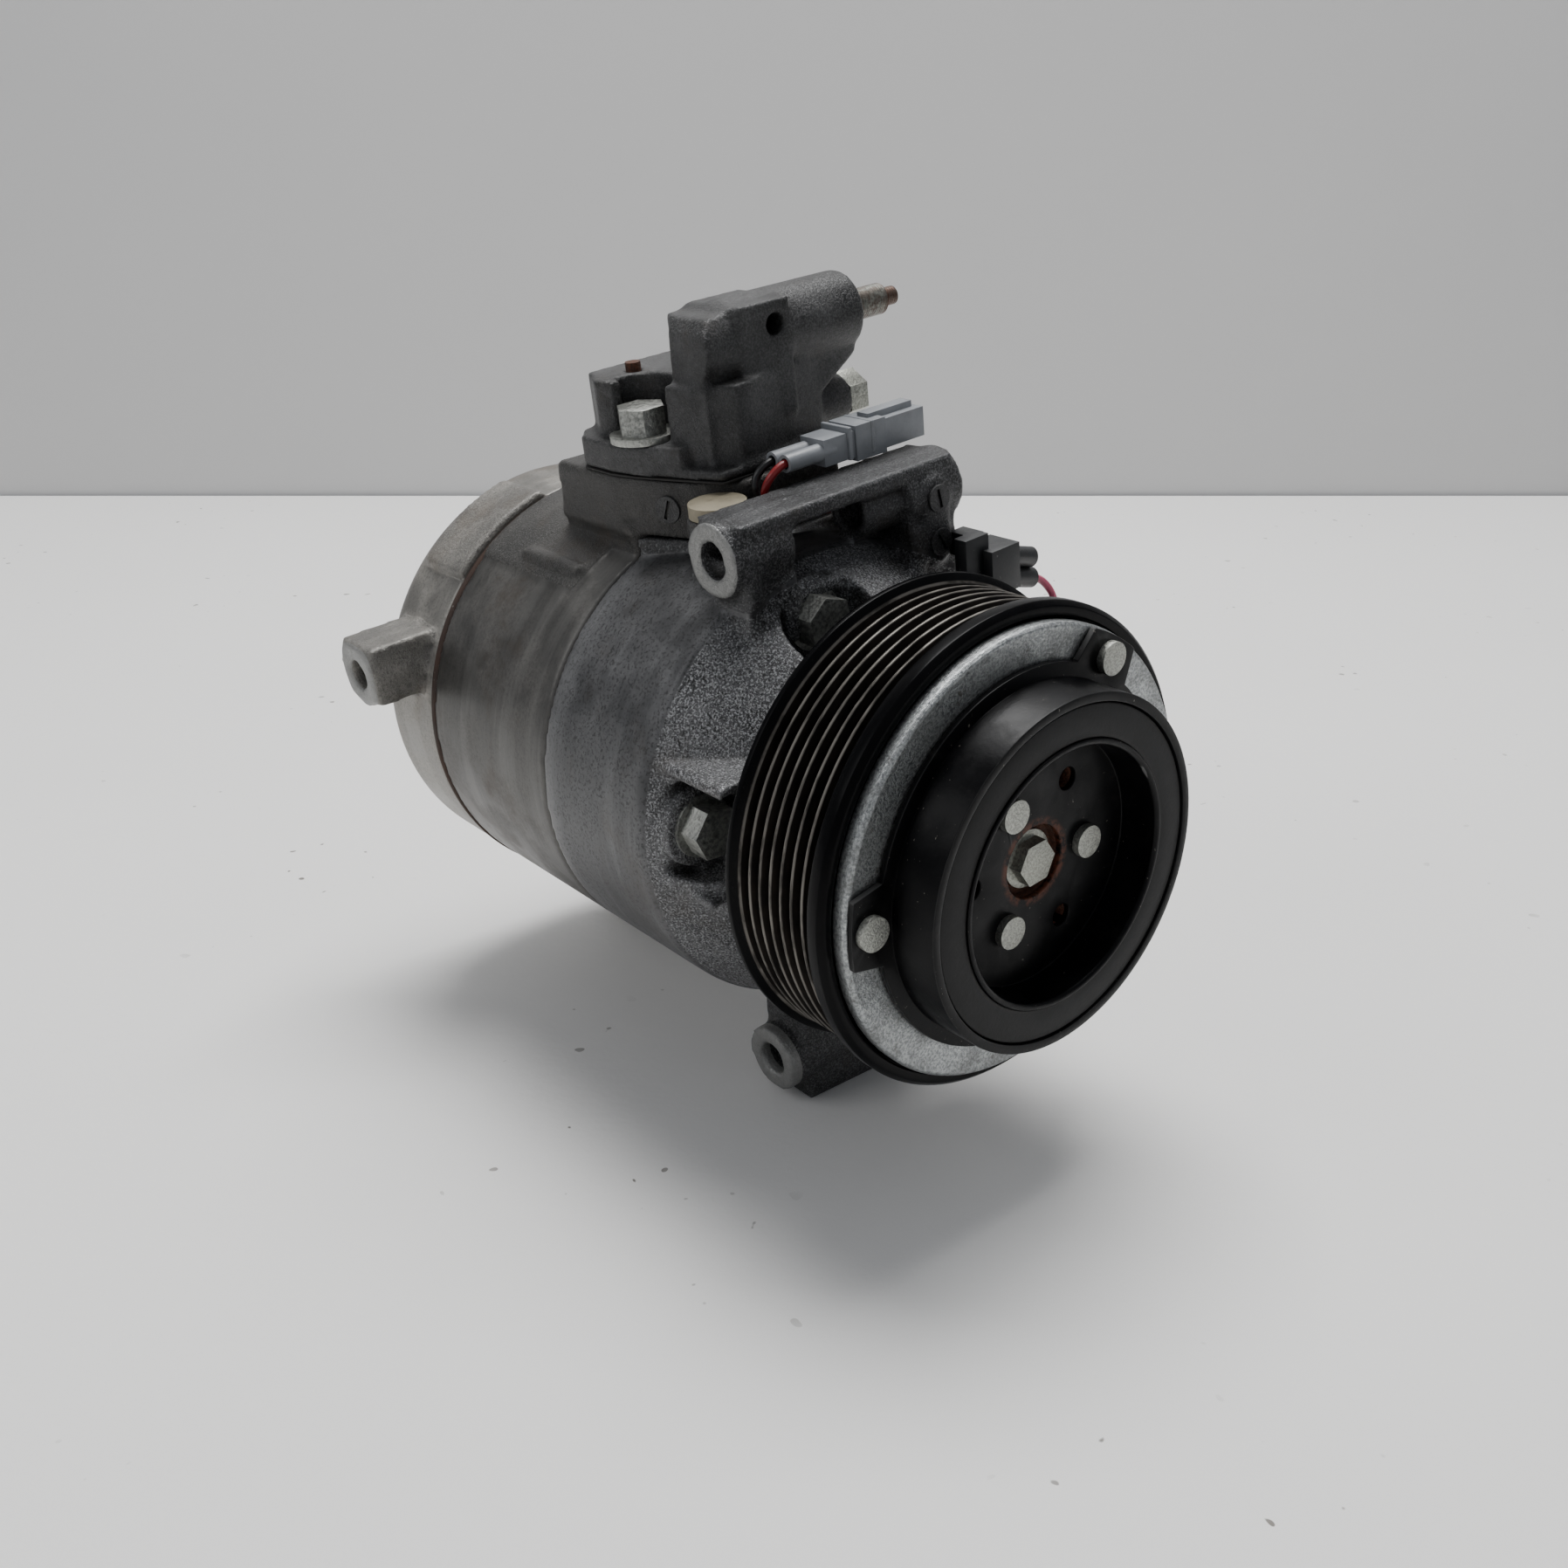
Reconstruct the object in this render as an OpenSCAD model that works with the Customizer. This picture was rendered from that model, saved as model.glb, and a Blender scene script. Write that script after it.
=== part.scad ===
// Belt-driven refrigerant pump with an electromagnetic clutch on its nose.
// The shaft runs along Y, the clutch faces -Y, and the unit lies on its lower ears,
// rolled a little about the shaft. Lengths are in millimetres, angles in degrees.

/* [Attitude] */
// Roll of the whole unit about its shaft as it lies on its lower ears
lean = 7.2; // [0:0.1:10]
// Height of the shaft axis above the surface that the ears stand on
axis_height = 88; // [84:1:110]

/* [Belt pulley] */
// Distance between neighbouring belt grooves
rib_pitch = 3.56; // [2.9:0.02:4.3]
// Number of belt grooves
rib_count = 7; // [6:1:8]
// Radius of the ridges between the grooves
ridge_r = 57.1; // [55:0.1:68]
// Depth of a belt groove
groove_depth = 3; // [2.4:0.1:3.6]
// Height of the end rims above the ridges
rim_lip = 2.2; // [1:0.1:4]
// Width of the front rim
front_rim_w = 5.1; // [3.5:0.1:8]
// Width of the rear rim
rear_rim_w = 3.4; // [2:0.1:5]
// Thickness of the sleeve below the groove floors
sleeve_wall = 3.6; // [3:0.1:4.5]
// Thickness of the friction disc
disc_t = 4.7; // [4:0.1:6]

/* [Clutch] */
// Gap that the armature plate closes when the coil is on
air_gap = 0.5; // [0.3:0.05:0.7]
// Depth of the friction face below the front rim
face_sink = 1.5; // [0.8:0.1:2]
// Thickness of the armature plate
armature_t = 4; // [3:0.1:5]
// Thickness of the lobed drive plate
plate_t = 1.5; // [1:0.1:2]
// Outer radius of the damper drum
drum_r = 43.1; // [40:0.1:44]
// Length of the damper drum ahead of the drive plate
drum_len = 12.7; // [10:0.1:16]
// Radius of the opening in the front of the damper
mouth_r = 30.8; // [28:0.1:32]
// Depth of the hub plate inside that opening
mouth_depth = 10.4; // [8:0.1:10.8]
// Radius of the circle that the outer rivets stand on
outer_rivet_pitch_r = 49.5; // [49:0.1:50]
// Radius of the circle that the inner rivets stand on
inner_rivet_pitch_r = 17; // [15:0.1:19]
// Radius of a rivet head
rivet_head_r = 4; // [3:0.1:4.5]
// Angle of the first outer rivet above the +X axis
outer_rivet_angle = 55; // [40:1:70]

/* [Body] */
// Radius of the machined body
body_r = 61; // [59:0.5:74]
// Distance from the rear belt ridge to the machined part of the front housing
cone_end = 36.2; // [34:0.1:44]
// Length of the machined part of the front housing
front_len = 42.8; // [42.8:0.1:60]
// Length of the cylinder block
block_len = 57.4; // [50:0.1:75]
// Thickness of the gasket behind the cylinder block
gasket_t = 1.3; // [0.8:0.1:2]
// Length of the rear housing
rear_len = 29.3; // [27:0.1:40]
// Wall round the crank chamber
chamber_wall = 7.5; // [7:0.1:9]

/* [Pistons] */
// Radius of a cylinder bore
bore_r = 16.5; // [14:0.1:17]
// Radius of the circle that the cylinder bores stand on
bore_pitch_r = 35; // [33:0.1:36]
// Largest tilt of the swash plate
tilt_max = 18; // [8:1:18]
// Thickness of the swash plate's rim
swash_t = 6; // [5:0.1:6.4]
// Radius of the swash plate
swash_r = 40; // [38:0.1:41]
// Radius of the two half-ball shoes on the swash plate
shoe_r = 9; // [8:0.1:9.4]
// Radius of the circle that the through bolts stand on
bolt_pitch_r = 48; // [46:0.1:49]
// Radius of a through bolt
bolt_r = 4; // [3:0.1:4]

/* [Shaft] */
// Radius of the shaft in its needle bearings
journal_r = 8; // [7:0.1:8.5]
// Radius of the shaft inside the crank chamber
shaft_r = 9.5; // [9:0.1:10]
// Radius of the shaft inside the clutch hub
hub_seat_r = 7.5; // [6:0.1:7.6]
// Radius of the nose that carries the pulley bearing
nose_r = 17.5; // [17:0.1:19]
// Outer radius of the pulley bearing
bearing_r = 27.5; // [27:0.1:29]
// Width of the pulley bearing
bearing_w = 20; // [16:0.5:20]

/* [Ears] */
// Radius of an ear's round end
ear_r = 9.2; // [8:0.1:11]
// Radius of the bolt hole in the front ears
ear_bore_r = 4.5; // [3:0.1:5.5]
// Height of the upper ear's hole above the shaft
upper_ear_z = 67; // [66:0.5:80]
// Depth of the lower ear's hole below the shaft
lower_ear_z = 72.4; // [71:0.1:76]
// Distance from the rear belt ridge back to the upper ear's hole
upper_ear_y = 36; // [34:0.5:38]
// Distance from the rear belt ridge back to the lower ear's hole
lower_ear_y = 33; // [31:0.5:36]
// Left end of the upper ear
upper_ear_x0 = -30.5; // [-36:0.5:-28]
// Right end of the upper ear
upper_ear_x1 = 43.5; // [40:0.5:46]
// Left end of the lower ear
lower_ear_x0 = -33; // [-36:0.5:-28]
// Right end of the lower ear
lower_ear_x1 = 34; // [28:0.5:38]
// Radius of the threaded hole in the rear lug
lug_bore_r = 4.2; // [3:0.1:5]
// Distance from the shaft to the end of the rear lug
lug_reach = 74; // [70:0.5:90]
// Height of the rear lug's hole above the shaft
lug_z = 23; // [18:0.5:26]

/* [Service manifold] */
// Height of the joint under the manifold above the shaft
joint_z = 77; // [76:0.5:95]
// Height of the manifold above that joint
manifold_h = 22.5; // [21:0.5:26]
// Radius of the round end of the manifold's horn
horn_r = 10; // [9:0.1:11]
// Length of the stud beyond the horn
stud_len = 19; // [12:0.5:24]
// Radius of the stud's thread
stud_r = 4; // [2.5:0.1:4.5]
// Radius of the suction port
suction_r = 7.5; // [5:0.1:8]
// Radius of the discharge port
discharge_r = 5.5; // [4:0.1:6]

/* [Fits] */
// Radial play of a part that turns or slides in a bore
running_gap = 0.06; // [0.02:0.01:0.1]
// Radial play of a part that is pressed or screwed in
press_gap = 0.02; // [0.01:0.01:0.05]
// Gap between parts that pass without touching
free_gap = 0.3; // [0.2:0.05:0.6]

/* [Hidden] */
round_fn = 96;
small_fn = 48;
cut = 0.01;
past = 1;

// Stations along the shaft
zone_rear = rib_pitch;
zone_front = zone_rear - rib_count * rib_pitch;
pulley_rear = zone_rear + rear_rim_w;
pulley_front = zone_front - front_rim_w;
face_y = pulley_front + face_sink;
armature_back = face_y - air_gap;
armature_front = armature_back - armature_t;
plate_front = armature_front - plate_t;
drum_front = plate_front - drum_len;
hub_plate_front = drum_front + mouth_depth;
hub_plate_t = 1.6;
hub_flange_front = hub_plate_front + hub_plate_t;
bolt_seat = hub_flange_front + 1.9;
shaft_front = bolt_seat + 2;
hub_flange_back = hub_flange_front + 4.2;
hub_boss_back = hub_flange_back + 18;
shim_t = 0.6;
coil_face = pulley_rear + 2;
bearing_back = coil_face - 9;
bearing_front = bearing_back - bearing_w;
nose_front = bearing_front - 2.6;
block_front = cone_end + front_len;
block_back = block_front + block_len;
gasket_back = block_back + gasket_t;
body_back = gasket_back + rear_len;

// Radii
rim_r = ridge_r + rim_lip;
floor_r = ridge_r - groove_depth;
sleeve_r = floor_r - sleeve_wall;
pulley_hub_r = bearing_r + 3.5;
armature_r = sleeve_r + 4.7;
recess_r = armature_r + 0.8;
armature_in_r = bearing_r + 3.5;
drum_wall = 2.3;
inner_wall = 1.6;
nose_bore_r = 13.5;
needle_r = journal_r + 4;
chamber_r = body_r - chamber_wall;

// Crank chamber and its moving parts
chamber_front = cone_end - 1.2;
nose_wall = chamber_front - 9;
thrust_t = 2.6;
thrust_gap = 0.2;
lug_front = nose_wall + thrust_t + 2 * thrust_gap;
lug_t = 7;
piston_travel = bore_pitch_r * tan(tilt_max);
jaw_half = 7;
jaw_back = 3;
jaw_len = shoe_r + jaw_back;
head_start = jaw_len + 1;
swash_y = chamber_front + piston_travel + jaw_len + 2.6;
piston_end = block_back - piston_travel - 0.8;
collar_t = 2.5;
collar_front = block_front - 1;
shaft_end = block_front + 27;
pivot_arm = 16;
pivot_rise = 19.5;
bolt_angle = 99;
piston_angle = bolt_angle + 36;
piston_count = 5;
piston_step = 360 / piston_count;
bolt_seat_y = chamber_front - 5;

// Place of the unit in its own frame: the middle of its outline, on the surface below it
lug_r = 9.6;
left_reach = lug_reach * cos(lean) + (lug_z + lug_r) * sin(lean);
mid_x = (body_r - left_reach) / 2;
mid_y = (drum_front + body_back) / 2;
lug_y = gasket_back + 12.5;
control_valve_z = -6;

// Manifold and wiring
horn_y = 68;
horn_z = joint_z + 30;
horn_x1 = 42;
manifold_top = joint_z + manifold_h;
manifold_joint_t = 0.5;
wire_r = 1.1;
connector_y = 46;
connector_z = joint_z + 4;

module place() {
    translate([-mid_x, -mid_y, axis_height]) rotate([0, -lean, 0]) children();
}

// A turned part: the profile holds points of [radius, distance along Y]
module turned(profile) {
    rotate([-90, 0, 0]) rotate_extrude($fn = round_fn) polygon(profile);
}

module rod_y(r, y0, y1, fn = round_fn) {
    translate([0, y0, 0]) rotate([-90, 0, 0]) cylinder(r = r, h = y1 - y0, $fn = fn);
}

module rod_x(r, x0, x1, fn = small_fn) {
    translate([x0, 0, 0]) rotate([0, 90, 0]) cylinder(r = r, h = x1 - x0, $fn = fn);
}

module ring_y(r0, r1, y0, y1) {
    difference() {
        rod_y(r1, y0, y1);
        rod_y(r0, y0 - past, y1 + past);
    }
}

module at_angle(a, r) {
    rotate([0, -a, 0]) translate([r, 0, 0]) children();
}

module three_times(first) {
    for (i = [0:2]) rotate([0, -(first + 120 * i), 0]) children();
}

module level_floor() {
    rotate([0, lean, 0]) translate([-200, -200, -axis_height]) cube([400, 500, 400]);
}

module slab(points, z0, z1) {
    translate([0, 0, z0]) linear_extrude(z1 - z0) polygon(points);
}

// ---- Pulley and its bearing ----

function groove(i) = let (middle = zone_rear - (i + 0.5) * rib_pitch) [
    [ridge_r, middle + rib_pitch / 2 - 0.35],
    [floor_r, middle + 0.45],
    [floor_r, middle - 0.45],
    [ridge_r, middle - rib_pitch / 2 + 0.35]
];

module pulley() {
    rim_round = 1.2;
    outside = [
        [sleeve_r + 1.5, pulley_rear], [rim_r - rim_round, pulley_rear], [rim_r, pulley_rear - rim_round],
        [rim_r, zone_rear + 0.8],
        for (i = [0:rib_count - 1]) each groove(i),
        [rim_r, zone_front - 0.8], [rim_r, pulley_front + rim_round], [rim_r - rim_round, pulley_front],
        [recess_r, pulley_front], [recess_r, face_y]
    ];
    inside = [
        [bearing_r - 2.5, face_y], [bearing_r - 2.5, bearing_front - 0.2], [bearing_r + press_gap,
            bearing_front - 0.2],
        [bearing_r + press_gap, bearing_back + 1.5], [pulley_hub_r, bearing_back + 1.5],
        [pulley_hub_r, face_y + disc_t], [sleeve_r, face_y + disc_t], [sleeve_r, pulley_rear - 1.5]
    ];
    slot_middle = (sleeve_r + pulley_hub_r) / 2;
    slot_sweep = 44;
    color("#17181a") place() difference() {
        turned(concat(outside, inside));
        for (i = [0:5]) rotate([0, 60 * i, 0]) translate([0, face_y - past, 0]) rotate([-90, 0, 0])
            rotate_extrude(angle = slot_sweep, $fn = round_fn)
            translate([slot_middle - 1, 0]) square([2, disc_t + 2 * past]);
    }
}

module bearing_inner_ring() {
    color("#b9bbbd") place()
        turned([[nose_r + press_gap, bearing_front], [nose_r + 2.6, bearing_front], [nose_r + 2.6,
            bearing_back],
                [nose_r + press_gap, bearing_back]]);
}

module bearing_outer_ring() {
    color("#b9bbbd") place()
        turned([[bearing_r - 2.6, bearing_front], [bearing_r, bearing_front], [bearing_r, bearing_back],
                [bearing_r - 2.6, bearing_back]]);
}

ball_gap = 0.1;
ball_r = (bearing_r - nose_r - 5.2) / 2 - ball_gap;
ball_pitch_r = (bearing_r + nose_r) / 2;
ball_rows = [bearing_front + 6, bearing_back - 6];
ball_count = 20;

module bearing_balls() {
    color("#cfd1d3") place() for (y = ball_rows) for (i = [0:ball_count - 1])
        at_angle(i * 360 / ball_count, ball_pitch_r) translate([0, y, 0]) sphere(r = ball_r, $fn = 24);
}

module bearing_shields() {
    shield_t = 0.8;
    color("#2b2d30") place() for (y = [bearing_front + 0.4, bearing_back - 0.4 - shield_t])
        ring_y(nose_r + 2.6 + free_gap, bearing_r - 2.6 - press_gap, y, y + shield_t);
}

module bearing_snap_ring() {
    color("#6d6f72") place() ring_y(nose_r - 1 + press_gap, nose_r + 1.8, bearing_front - 1.6,
        bearing_front - 0.1);
}

// ---- Coil ----

coil_in_r = pulley_hub_r + 0.7;
coil_out_r = sleeve_r - 0.7;
coil_front = face_y + disc_t + 1;

module coil_case() {
    wall = 3;
    color("#8d9093") place() difference() {
        union() {
            ring_y(coil_in_r, coil_out_r, coil_front, coil_face - 2);
            ring_y(nose_r + 1.2, coil_out_r, coil_face - 2, coil_face);
        }
        ring_y(coil_in_r + wall, coil_out_r - wall, coil_front - past, coil_face - 4);
        at_angle(20, coil_out_r - 4.3) rod_y(wire_r + 0.5, coil_face - 4, coil_face + past, small_fn);
    }
}

module coil_winding() {
    wall = 3;
    color("#a5562b") place()
        ring_y(coil_in_r + wall + press_gap, coil_out_r - wall - press_gap, coil_front + 1.2,
            coil_face - 4.3);
}

module coil_snap_ring() {
    color("#6d6f72") place() ring_y(nose_r - 1 + press_gap, nose_r + 3.4, coil_face - 3.6, coil_face - 2.1);
}

// ---- Clutch plates ----

module armature_plate() {
    bead_r = armature_r - 1.6;
    color("#c9cbcd") place() difference() {
        turned([
            [armature_in_r, armature_back], [armature_r - 0.4, armature_back], [armature_r,
                armature_back - 0.4],
            [armature_r, armature_front + 0.5], [armature_r - 0.6, armature_front - 0.1],
            [bead_r + 0.7, armature_front - 0.3], [bead_r, armature_front - 0.2],
            [bead_r - 1, armature_front], [armature_in_r, armature_front]
        ]);
        three_times(outer_rivet_angle) translate([outer_rivet_pitch_r, 0, 0])
            rod_y(2.5 + press_gap, armature_front - past, armature_back + past, small_fn);
        three_times(outer_rivet_angle) translate([outer_rivet_pitch_r, 0, 0])
            rod_y(3.5, armature_back - 1.2, armature_back + past, small_fn);
    }
}

// Outline of the drive plate seen along the shaft, with its three square lobes
module drive_outline() {
    lobe_r = armature_r - 0.5;
    web_r = drum_r + 3.6;
    circle(r = web_r, $fn = round_fn);
    for (i = [0:2]) rotate(outer_rivet_angle + 120 * i) intersection() {
        circle(r = lobe_r, $fn = round_fn);
        polygon([
            for (a = [-13, -8]) (a == -13 ? web_r - 1 : lobe_r + 2) * [cos(a), sin(a)],
            for (a = [8, 13]) (a == 13 ? web_r - 1 : lobe_r + 2) * [cos(a), sin(a)],
            [drum_r - 4, 0]
        ]);
    }
}

module drive_plate() {
    color("#1b1c1e") place() difference() {
        union() {
            translate([0, armature_front - 0.35, 0]) rotate([90, 0, 0])
                linear_extrude(plate_t) drive_outline();
            rod_y(drum_r, drum_front, armature_front - 0.35);
        }
        rod_y(drum_r - drum_wall, drum_front - past, armature_front + past);
        three_times(outer_rivet_angle) translate([outer_rivet_pitch_r, 0, 0])
            rod_y(2.5 + press_gap, plate_front - past, armature_front + past, small_fn);
    }
}

module outer_rivets() {
    color("#d4d6d2") place() three_times(outer_rivet_angle) translate([outer_rivet_pitch_r, 0, 0]) {
        rod_y(rivet_head_r, plate_front - 0.35 - 1.9, plate_front - 0.35, small_fn);
        rod_y(2.5, plate_front - 0.35, armature_back - 0.1, small_fn);
    }
}

module damper_rubber() {
    color("#101112") place() turned([
        [mouth_r + inner_wall + press_gap, drum_front + 0.5], [drum_r - drum_wall - free_gap,
            drum_front + 0.5],
        [drum_r - drum_wall - free_gap, armature_front - 1.4], [mouth_r + inner_wall + press_gap,
            armature_front - 1.4]
    ]);
}

module hub_plate() {
    color("#1b1c1e") place() difference() {
        turned([
            [9, hub_plate_front], [mouth_r, hub_plate_front], [mouth_r, drum_front + 0.6], [mouth_r + 0.6,
                drum_front],
            [mouth_r + inner_wall, drum_front], [mouth_r + inner_wall, hub_flange_front], [9,
                hub_flange_front]
        ]);
        three_times(outer_rivet_angle) translate([inner_rivet_pitch_r + 3.5, 0, 0])
            rod_y(2.7, hub_plate_front - past, hub_flange_front + past, small_fn);
        three_times(outer_rivet_angle + 60) translate([inner_rivet_pitch_r, 0, 0])
            rod_y(2.5 + press_gap, hub_plate_front - past, hub_flange_front + past, small_fn);
    }
}

module hub_boss() {
    color("#5a4034") place() difference() {
        turned([
            [0, bolt_seat], [9, bolt_seat], [9, hub_flange_front], [inner_rivet_pitch_r + 6,
                hub_flange_front],
            [inner_rivet_pitch_r + 6, hub_flange_back], [nose_bore_r - 0.9, hub_flange_back],
            [nose_bore_r - 0.9, hub_boss_back], [hub_seat_r + press_gap, hub_boss_back],
            [hub_seat_r + press_gap, shaft_front], [0, shaft_front]
        ]);
        rod_y(3.2, bolt_seat - past, shaft_front + past, small_fn);
        three_times(outer_rivet_angle) translate([inner_rivet_pitch_r + 3.5, 0, 0])
            rod_y(2.7, hub_flange_front - past, hub_flange_back + past, small_fn);
        three_times(outer_rivet_angle + 60) translate([inner_rivet_pitch_r, 0, 0])
            rod_y(2.5 + press_gap, hub_flange_front - past, hub_flange_back + past, small_fn);
    }
}

module inner_rivets() {
    color("#d4d6d2") place() three_times(outer_rivet_angle + 60) translate([inner_rivet_pitch_r, 0, 0]) {
        rod_y(rivet_head_r, hub_plate_front - 1.9, hub_plate_front, small_fn);
        rod_y(2.5, hub_plate_front, hub_flange_back + 0.4, small_fn);
    }
}

module centre_bolt() {
    flange_t = 1.3;
    color("#b7bab8") place() {
        rod_y(7.2, bolt_seat - flange_t, bolt_seat, small_fn);
        rod_y(5.8, bolt_seat - 4.5, bolt_seat - flange_t, 6);
        rod_y(3, bolt_seat, shaft_front + 15, small_fn);
    }
}

module shim_washers() {
    color("#9da0a2") place() ring_y(hub_seat_r + 0.1, nose_bore_r - 2.5, hub_boss_back,
        hub_boss_back + shim_t);
}

// ---- Shaft and swash plate ----

module shaft() {
    color("#a9abad") place() difference() {
        turned([
            [0, shaft_front], [hub_seat_r - 0.5, shaft_front], [hub_seat_r, shaft_front + 0.5],
            [hub_seat_r, hub_boss_back + shim_t], [journal_r, hub_boss_back + shim_t], [journal_r,
                nose_wall + 0.5],
            [shaft_r, nose_wall + 0.5], [shaft_r, collar_front], [12, collar_front],
            [12, collar_front + collar_t], [journal_r, collar_front + collar_t],
            [journal_r, shaft_end - 1], [journal_r - 1, shaft_end], [0, shaft_end]
        ]);
        rod_y(3 + press_gap, shaft_front - past, shaft_front + 18, small_fn);
    }
}

pivot_y = swash_y - pivot_arm;
pivot_far_y = swash_y - pivot_arm * cos(tilt_max) - pivot_rise * sin(tilt_max);
pivot_far_z = pivot_rise * cos(tilt_max) - pivot_arm * sin(tilt_max);
link_pin_r = 1.8;
link_slot_r = link_pin_r + 0.9;
tongue_half = 3;
tongue_r = 3.5;
cheek_t = 4;
cheek_wall = 1.6;
link_pin_half = tongue_half + 0.4 + cheek_t;

// Plate fixed on the shaft, with two cheeks whose slots guide the swash plate's pin
module lug_plate() {
    cheek_in = tongue_half + 0.4;
    slot_len = norm([pivot_y - pivot_far_y, pivot_rise - pivot_far_z]);
    color("#7f8284") place() difference() {
        union() {
            rod_y(27, lug_front, lug_front + lug_t);
            for (side = [-1, 1]) translate([side * (cheek_in + cheek_t / 2) - cheek_t / 2, 0, 0]) {
                translate([0, lug_front + lug_t - 0.5, 5])
                    cube([cheek_t, pivot_y - lug_front - lug_t + 0.5, 10]);
                translate([0, lug_front + lug_t - 0.5, 14])
                    cube([cheek_t, pivot_y - lug_front - lug_t + 0.5 + link_slot_r + cheek_wall,
                        pivot_rise + link_slot_r + cheek_wall - 14]);
            }
        }
        rod_y(shaft_r + press_gap, lug_front - past, swash_y);
        for (p = [[pivot_y, pivot_rise], [pivot_far_y, pivot_far_z]]) translate([0, p[0], p[1]])
            rod_x(link_slot_r, -20, 20);
        translate([0, pivot_far_y, pivot_far_z])
            rotate([atan2(pivot_rise - pivot_far_z, pivot_y - pivot_far_y), 0, 0])
            translate([-20, 0, -link_slot_r]) cube([40, slot_len, 2 * link_slot_r]);
    }
}

// Arm and pin between the cheeks; the arm stops just short of the swash plate
module link_arm() {
    arm_len = 4;
    color("#8e9193") place() translate([0, pivot_y, pivot_rise]) {
        rod_x(tongue_r, -tongue_half, tongue_half);
        rod_x(link_pin_r, -link_pin_half, link_pin_half);
        translate([-tongue_half, 0, -tongue_r]) cube([2 * tongue_half, arm_len, 2 * tongue_r]);
    }
}

tilt_hub_r = 15.5;

// Sleeve that carries the swash plate, with a bore long enough for the shaft at full tilt
module tilt_sleeve() {
    hub_half = 8;
    flange_r = 18.5;
    flange_t = 2.5;
    bore_half = shaft_r / cos(tilt_max) + hub_half * tan(tilt_max) + 0.4;
    bore_shift = bore_half - shaft_r - free_gap;
    flange_y = swash_t / 2 + free_gap;
    color("#9b9ea1") place() translate([0, swash_y, 0]) difference() {
        union() {
            rod_y(tilt_hub_r, -hub_half, hub_half);
            rod_y(flange_r, flange_y, flange_y + flange_t);
        }
        for (side = [-1, 1]) translate([0, 0, side * bore_shift])
            rod_y(shaft_r + free_gap, -hub_half - past, hub_half + past);
        translate([-shaft_r - free_gap, -hub_half - past, -bore_shift])
            cube([2 * (shaft_r + free_gap), 2 * (hub_half + past), 2 * bore_shift]);
    }
}

module swash_plate() {
    color("#8e9193") place()
        ring_y(tilt_hub_r + running_gap, swash_r, swash_y - swash_t / 2, swash_y + swash_t / 2);
}

// ---- Pistons, each with its pair of half-ball shoes ----

module piston(i) {
    skirt_r = bore_r - running_gap;
    bridge_in = swash_r - bore_pitch_r + 2.5;
    color("#b4b6b8") place() at_angle(piston_angle + piston_step * i, bore_pitch_r)
        translate([0, swash_y, 0]) difference() {
            union() {
                rod_y(skirt_r, head_start, piston_end - swash_y);
                rod_y(9.5, -jaw_len, -jaw_half);
                rod_y(9.5, jaw_half, head_start + past);
                intersection() {
                    rod_y(skirt_r, -jaw_len, head_start + past);
                    translate([bridge_in, -jaw_len - past, -bore_r])
                        cube([15 - bridge_in, jaw_len + head_start + 3, 2 * bore_r]);
                }
            }
            sphere(r = shoe_r + running_gap, $fn = round_fn);
            ring_y(skirt_r - 1, skirt_r + past, piston_end - swash_y - 8, piston_end - swash_y - 5);
        }
}

module shoes(i) {
    color("#d9dbdd") place() at_angle(piston_angle + piston_step * i, bore_pitch_r)
        translate([0, swash_y, 0]) difference() {
            sphere(r = shoe_r, $fn = round_fn);
            rotate([0, piston_angle + piston_step * i, 0])
                translate([-20, -swash_t / 2 - free_gap, -20]) cube([40, swash_t + 2 * free_gap, 40]);
            for (side = [0, 1]) mirror([0, side, 0]) translate([-20, shoe_r - 0.5, -20]) cube([40, 5, 40]);
        }
}

// ---- Bearings and seal of the shaft ----

module needle_bearings() {
    color("#c0c2c4") place() {
        ring_y(journal_r + running_gap, needle_r - press_gap, 8, nose_wall - 2);
        ring_y(journal_r + running_gap, needle_r - press_gap, block_front + 5, block_front + 21);
    }
}

module thrust_bearings() {
    color("#c0c2c4") place() {
        ring_y(12, 24, nose_wall + thrust_gap, nose_wall + thrust_gap + thrust_t);
        ring_y(journal_r + 0.2, 14, collar_front + collar_t + thrust_gap, block_front + 4.3);
    }
}

module shaft_seal() {
    color("#1e2022") place() ring_y(journal_r + running_gap, nose_bore_r - press_gap, hub_boss_back + 3.2,
        3.8);
}

module seal_snap_ring() {
    color("#6d6f72") place() ring_y(nose_bore_r - 3.4, nose_bore_r - press_gap, hub_boss_back + 1.8,
        hub_boss_back + 3);
}

// ---- Body castings ----

module through_bolt_places() {
    for (i = [0:4]) at_angle(bolt_angle + 72 * i, bolt_pitch_r) children();
}

// Outlines of the service pad, the manifold's foot, its bolt ledge and its upper part, seen from above
pad_outline = [
    [-22.6, 112], [-22.6, 86], [-20.7, 77.2], [-17.9, 70], [-15, 63.4], [-5, 52], [24, 52], [34, 66], [34,
        112]
];
manifold_outline = [
    [-17, 104], [-22, 98], [-22, 86], [-20.1, 77.5], [-17.3, 70.3], [-14.5, 63.2], [-11, 54], [23, 54],
    [32, 66], [32, 104]
];
ledge_outline = [[-17, 104], [-22, 98], [-22, 86], [-20.1, 77.5], [-17.3, 70.3], [-15.2, 65], [0, 65], [0,
    104]];
upper_outline = [
    [-14, 103], [-19, 93], [-17.5, 86], [-11, 63.5], [-3.5, 54.8], [0, 54.8], [28.8, 62], [31.5, 66], [31.5, 103]
];
manifold_bolt_place = [-14, 81];
pin_place = [-6.5, 93];
port_y = 94;
suction_x = 8;
discharge_x = 22;
plug_place = [-15.5, 51.5];
sensor_place = [37, 54];

module at_spot(spot, z) {
    translate([spot[0], spot[1], z]) children();
}

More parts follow.
